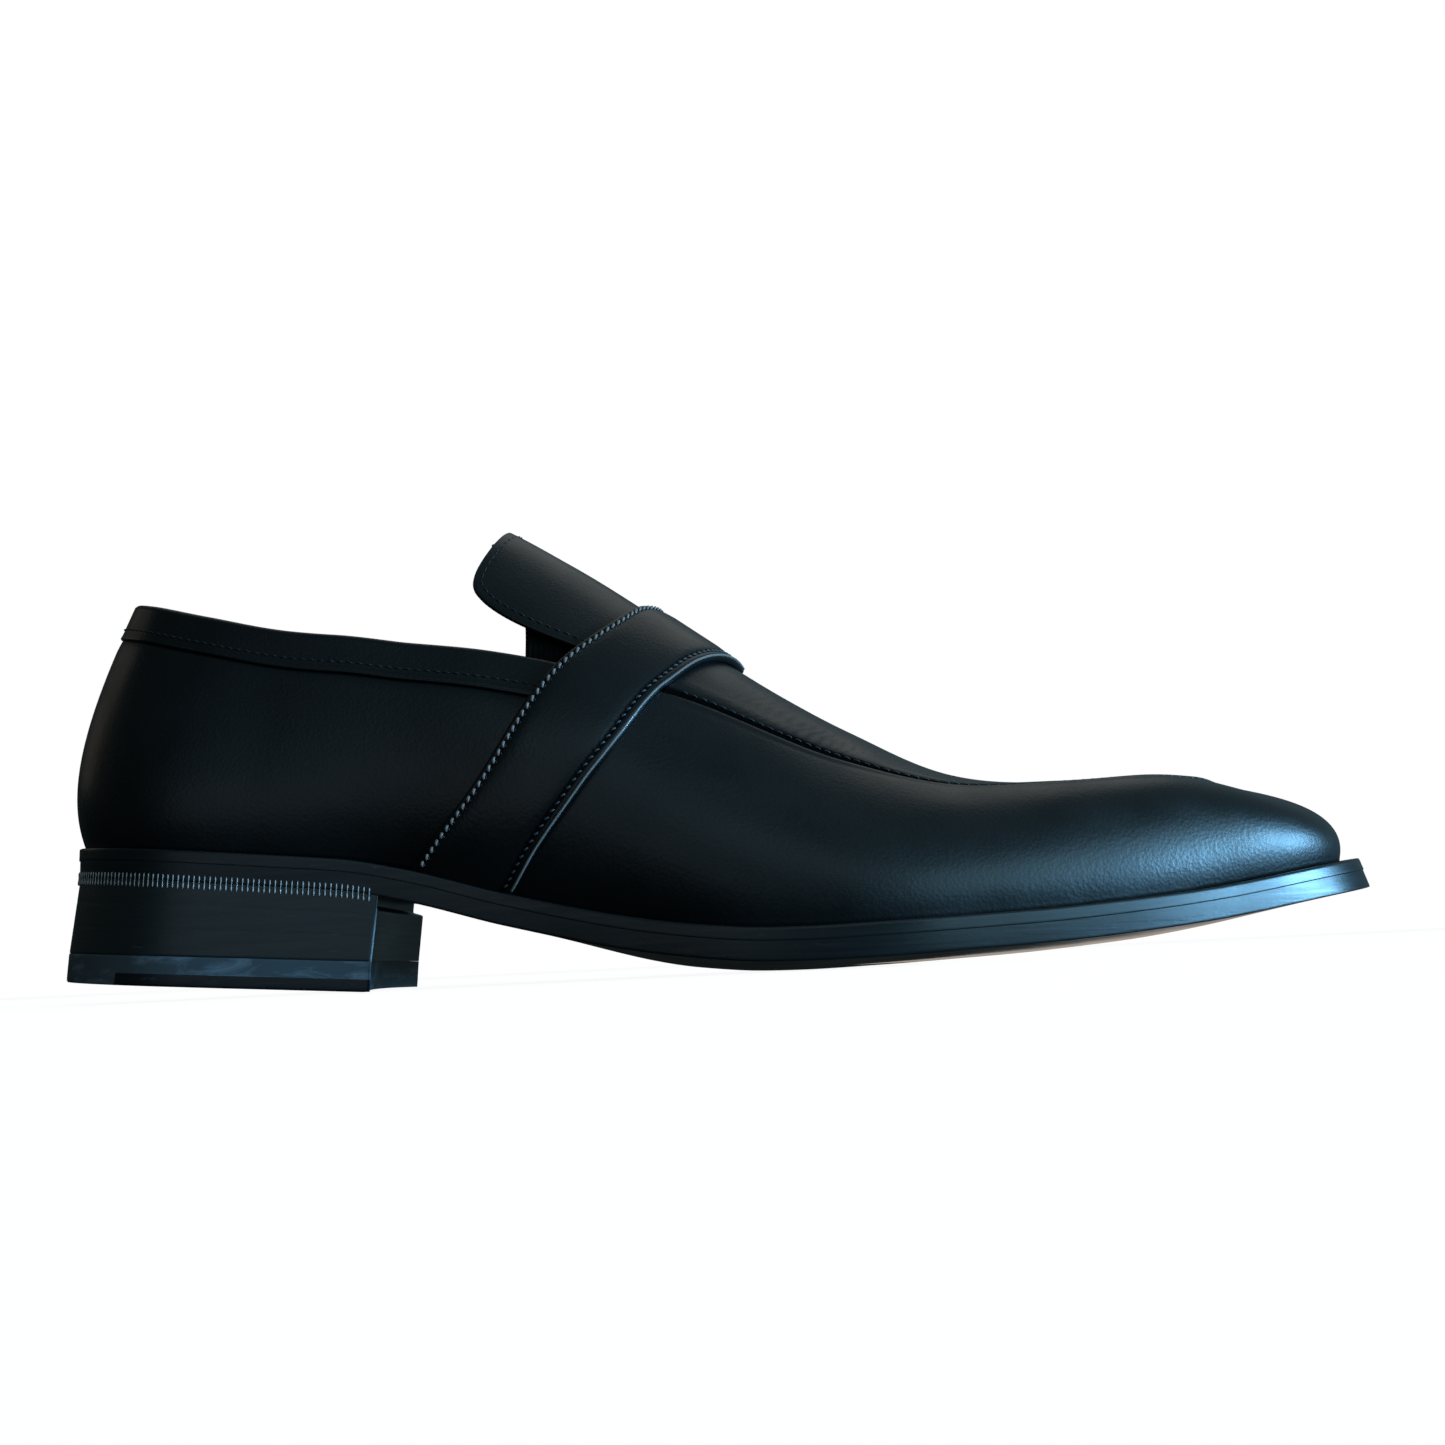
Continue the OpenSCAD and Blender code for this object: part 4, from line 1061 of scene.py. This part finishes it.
def heel():
    """Stacked heel: block of lifts with fine lift lines, rubber top piece and the leather let into its front."""
    centre = heel_outline(0.0)
    away = unit(heel_outline(0.6) - centre)
    levels = []
    ends = (0.0, 0.004, 0.012, 0.03, 0.97, 0.988, 0.996, 1.0)
    for t in np.unique(np.concatenate([ends, np.linspace(0.03, 0.97, 48)])):
        groove = sum(0.05 * math.exp(-((t - at) / 0.012) ** 2) for at in (0.36, 0.68))
        soft = 0.16 * math.exp(-t / 0.006) + 0.05 * math.exp(-(1 - t) / 0.004)
        p = centre + away * (FLARE * (1 - t) - groove - soft)
        half = np.abs(p[:, 1]).max()
        breast = smooth((p[:, 0] + 9.5) / 1.0) * smooth((half - np.abs(p[:, 1])) / 1.3)
        p[:, 0] -= 2.6 * smooth((t - 0.8) / 0.035) * breast
        levels.append(lerp(tread_level(p, TOP_PIECE_T - 0.02), seat_level(p), t))
    block = loft("heel_block", levels, HEEL_WAX)
    # Painted highlight: a pale line down the heel's near front corner, strongest low down, where the rounded corner
    # would catch the light.
    corner = centre[np.argmax(centre[:, 0] - 0.35 * centre[:, 1])]
    worn = np.exp(-(np.linalg.norm(centre - corner, axis=1) / 0.32) ** 2)
    high = np.linspace(0, 1, len(levels))[:, None]
    worn = worn[None] * (0.25 + 0.75 * smooth((0.85 - high) / 0.5))
    mark(block, "worn", worn.ravel())
    finish_piece(block, "root", "sole_edge", "heel_wedge", "heel_lift_lower", "heel_lift_upper")
    levels = []
    for t in (0, 0.01, 0.03, 0.07, 0.14, 0.3, 0.5, 0.7, 0.9, 0.96, 0.985, 1.0):
        soft = 0.3 * math.exp(-t / 0.03) + 0.16 * math.exp(-(1 - t) / 0.012)
        p = centre + away * (FLARE + 0.06 - soft)
        levels.append(tread_level(p, lerp(0.02, TOP_PIECE_T - 0.06, t)))
    finish_piece(loft("rubber_tread", levels, RUBBER), "root", "heel_rubber", "rubber_heel_tip")
    levels = []
    for t in (0, 0.02, 0.08, 0.2, 0.5, 0.9, 0.97, 1.0):
        p = centre + away * (FLARE + 0.14 - 0.2 * math.exp(-t / 0.05))
        p[:, 0] = np.maximum(p[:, 0], 20.2 - TREAD_L)
        levels.append(tread_level(p, lerp(0.03, 2.7, t)))
    finish_piece(loft("leather_tread", levels, WAX), "root", "sole_edge", "leather_top_piece")


def heel_marks():
    """Wheeled marks round the top of the heel: upright dashes between two fine beads, painted pale as their
    highlight.
    """
    u = np.linspace(-3.5, 3.92, 1600)
    p = edge(u, 0.06)
    line = np.stack([p[..., 0], p[..., 1], sole_top(p[..., 0]) - SOLE_T + 0.05], -1)
    o = outward(u)
    s = np.concatenate([[0], np.cumsum(np.linalg.norm(np.diff(line, axis=0), axis=1))])
    count = int(s[-1] / 1.22)
    want = (np.arange(count) + 0.5) * s[-1] / count
    at = np.stack([np.interp(want, s, line[:, k]) for k in range(3)], -1)
    n = unit(np.stack([np.interp(want, s, o[:, k]) for k in range(3)], -1))
    t = np.tile([0.06, 0, 1.0], (count, 1))
    b = np.cross(n, t)
    rings, sides = 9, 6
    z = np.linspace(-1, 1, rings)
    fat = np.array([0.25, 0.95, 0.9, 0.5, 0.45, 0.5, 0.9, 0.95, 0.25])
    a = np.arange(sides) * 2 * math.pi / sides
    local = np.stack([np.broadcast_to((z * 1.5)[:, None], (rings, sides)), 0.17 * fat[:, None] * np.cos(a),
                      0.17 * fat[:, None] * np.sin(a) - 0.02], -1).reshape(-1, 3)
    points = at[:, None] + np.einsum("pk,skc->spc", local, np.stack([t, b, n], 1))
    faces = strand_faces(count, rings, sides)
    piece = mesh_object("heel_wheel_marks", points.reshape(-1, 3), faces, WHEEL_MARK_HIGHLIGHT)
    finish_piece(piece, "root", "sole_edge")


# ---------------------------------------------------------------- inside
def pad_share(x):
    """Share of the heel pad's thickness: whole under the heel, running out under the arch."""
    return 1 - smooth((x / KX - MID_X + 92) / 32)


def sock():
    """Sock lining over the insole and heel pad, its edge turned up a little against the lining."""
    d_in = LINING_IN - 1.0
    u, w = np.meshgrid(rib_rows(0.3, 13.5, 220), np.linspace(-1, 1, 40), indexing="ij")
    a, b = outline(u, np.full_like(u, d_in)), outline(-u, np.full_like(u, d_in))
    p = lerp(a, b, ((w + 1) / 2)[..., None])
    pad = PAD_T * pad_share(p[..., 0])
    z = sole_top(p[..., 0]) + 3 * GAP + INSOLE_T + 0.3 + pad + 0.5 * np.abs(w) ** 6
    z = z - 0.5 * np.exp(-((p[..., 0] + 118) / 16) ** 2 - (w / 0.5) ** 2)
    top = np.stack([p[..., 0], p[..., 1], z + SOCK_T], -1)
    low = np.stack([p[..., 0], p[..., 1], z], -1)
    piece = shell("sock_lining_calf", top, low, LINING, bulge=0.4)
    finish_piece(piece, "root", "lining_leather", "sock_lining")


def heel_pad():
    """Latex pad under the heel: crowned in the middle, its edge pulled in and rounded."""
    d_in = LINING_IN - 2.7
    sides = np.sin(np.linspace(-1, 1, 48) * math.pi / 2)
    u, w = np.meshgrid(rib_rows(0.42, 4.25, 140), sides, indexing="ij")
    a, b = outline(u, np.full_like(u, d_in)), outline(-u, np.full_like(u, d_in))
    p = lerp(a, b, ((w + 1) / 2)[..., None])
    rest = sole_top(p[..., 0]) + 2 * GAP + INSOLE_T + 0.02
    rise = PAD_T * pad_share(p[..., 0]) + 0.26
    edge_in = np.minimum(1 - np.abs(w), (u - 0.42) * 0.7)
    puff = 0.72 + 0.28 * np.sin(0.5 * np.pi * np.clip(edge_in / 0.3, 0, 1))
    top = np.stack([p[..., 0], p[..., 1], rest + rise * puff], -1)
    low = np.stack([p[..., 0], p[..., 1], rest + 0.02], -1)
    piece = finish_piece(shell("heel_pad_latex", top, low, FOAM, bulge=0.5), "root", "foam", "heel_pad")


# Inner pieces keep their solid's shape and get a finish
for node, finish in (("heel_nails", BRASS), ("cork_filler", CORK), ("steel_shank", STEEL), ("insole", BOARD),
                     ("heel_counter", BOARD), ("toe_puff", BOARD)):
    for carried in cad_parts[node].material_slots:
        carried.material = finish

quarters()
collar()
vamp()
apron()
linings()
tongue()
gores()
strap()
outsole()
welt()
heel()
heel_marks()
sock()
heel_pad()


# ---------------------------------------------------------------- stage, light and camera
def light(name, where, to, energy, size, colour):
    """Rectangular lamp at a place, turned to face another, both in metres."""
    lamp = bpy.data.lights.new(name, "AREA")
    lamp.shape = "RECTANGLE"
    lamp.energy, lamp.size, lamp.size_y, lamp.color = energy, size[0], size[1], colour
    obj = bpy.data.objects.new(name, lamp)
    bpy.context.collection.objects.link(obj)
    way = unit(np.array(to, float) - np.array(where, float))
    side = unit(np.cross(way, [0, 0, 1.0]))
    up = np.cross(side, way)
    turn = Matrix(np.column_stack([side, up, -way]).tolist()).to_4x4()
    obj.matrix_world = Matrix.Translation(where) @ turn
    return obj


def stage():
    """Pale floor and a white surround to the eye. The shoe itself is lit by the lamps and a dim, uneven room."""
    n = Nodes("pale_floor")
    n.set(Base_Color=rgb(0.35, 0.35, 0.35), Roughness=1.0, Specular_IOR_Level=0.0,
          Emission_Color=rgb(1, 1, 1), Emission_Strength=0.93)
    size = 6.0
    mesh = bpy.data.meshes.new("floor")
    corners = [(-size, -size, 0), (size, -size, 0), (size, size, 0), (-size, size, 0)]
    mesh.from_pydata(corners, [], [(0, 1, 2, 3)])
    mesh.materials.append(n.material)
    floor = bpy.data.objects.new("floor", mesh)
    bpy.context.collection.objects.link(floor)
    floor.visible_diffuse = floor.visible_glossy = floor.visible_shadow = False
    world = bpy.data.worlds.new("surround")
    bpy.context.scene.world = world
    world.use_nodes = True
    tree = world.node_tree
    room, white = tree.nodes["Background"], tree.nodes.new("ShaderNodeBackground")
    way = tree.nodes.new("ShaderNodeTexCoord")
    split = tree.nodes.new("ShaderNodeSeparateXYZ")
    tree.links.new(way.outputs["Generated"], split.inputs[0])
    side, high = tree.nodes.new("ShaderNodeMapRange"), tree.nodes.new("ShaderNodeMapRange")
    for node, axis, values in ((side, 0, (-0.7, 0.8, 0.25, 1.6)), (high, 2, (-0.35, 0.4, 0.2, 1.0))):
        tree.links.new(split.outputs[axis], node.inputs["Value"])
        for key, value in zip(("From Min", "From Max", "To Min", "To Max"), values):
            node.inputs[key].default_value = value
    both = tree.nodes.new("ShaderNodeMath")
    both.operation = "MULTIPLY"
    tree.links.new(side.outputs[0], both.inputs[0])
    tree.links.new(high.outputs[0], both.inputs[1])
    dim = tree.nodes.new("ShaderNodeMath")
    dim.operation = "MULTIPLY"
    dim.inputs[1].default_value = 0.13
    tree.links.new(both.outputs[0], dim.inputs[0])
    room.inputs["Color"].default_value = rgb(0.55, 0.88, 1.0)
    tree.links.new(dim.outputs[0], room.inputs["Strength"])
    white.inputs["Color"].default_value = rgb(1, 1, 1)
    path, mix = tree.nodes.new("ShaderNodeLightPath"), tree.nodes.new("ShaderNodeMixShader")
    tree.links.new(path.outputs["Is Camera Ray"], mix.inputs[0])
    tree.links.new(room.outputs[0], mix.inputs[1])
    tree.links.new(white.outputs[0], mix.inputs[2])
    tree.links.new(mix.outputs[0], tree.nodes["World Output"].inputs["Surface"])


def camera():
    """Low camera beside the outer side of the shoe, tipped up and rolled a little."""
    pitch, roll = math.radians(9.4), math.radians(-2.8)
    ahead = np.array([0, math.cos(pitch), math.sin(pitch)])
    right = np.array([1.0, 0, 0])
    up = np.cross(right, ahead)
    right, up = math.cos(roll) * right + math.sin(roll) * up, -math.sin(roll) * right + math.cos(roll) * up
    data = bpy.data.cameras.new("camera")
    data.sensor_width = 36
    data.lens = 36.05
    data.clip_start = 0.001
    eye = bpy.data.objects.new("camera", data)
    bpy.context.collection.objects.link(eye)
    eye.matrix_world = Matrix.Translation((MID_X * MM, -0.350, 0.0026)) @ Matrix(
        np.column_stack([right, up, -ahead]).tolist()).to_4x4()
    bpy.context.scene.camera = eye


stage()
camera()
bpy.context.scene.view_settings.view_transform = "Standard"
light("window", (0.94, -0.33, 0.08), (0.13, -0.01, 0.03), 12.5, (0.3, 0.24), (0.25, 0.62, 1.0))
light("window_glow", (0.74, -0.8, 0.26), (0.05, -0.02, 0.04), 2.2, (0.7, 0.5), (0.4, 0.78, 1.0))
light("ceiling", (-0.02, 0.45, 0.9), (0, 0, 0.05), 1.1, (1.2, 0.7), (1.0, 0.96, 0.9))
light("back_fill", (-0.7, 0.25, 0.3), (-0.14, 0, 0.03), 0.04, (0.3, 0.3), (1.0, 0.85, 0.7))
light("room", (-0.6, -1.15, 0.16), (-0.12, 0, 0.05), 0.3, (0.7, 0.5), (0.72, 0.86, 1.0))
light("room_high", (-0.1, -1.0, 0.55), (-0.02, 0, 0.06), 0.42, (0.9, 0.4), (0.55, 0.82, 1.0))
bounce = light("sole_bounce", (0.085, 0.0, 0.0004), (0.085, 0.001, 0.1), 0.02, (0.13, 0.06), (1.0, 0.98, 0.96))
bounce.visible_camera = False
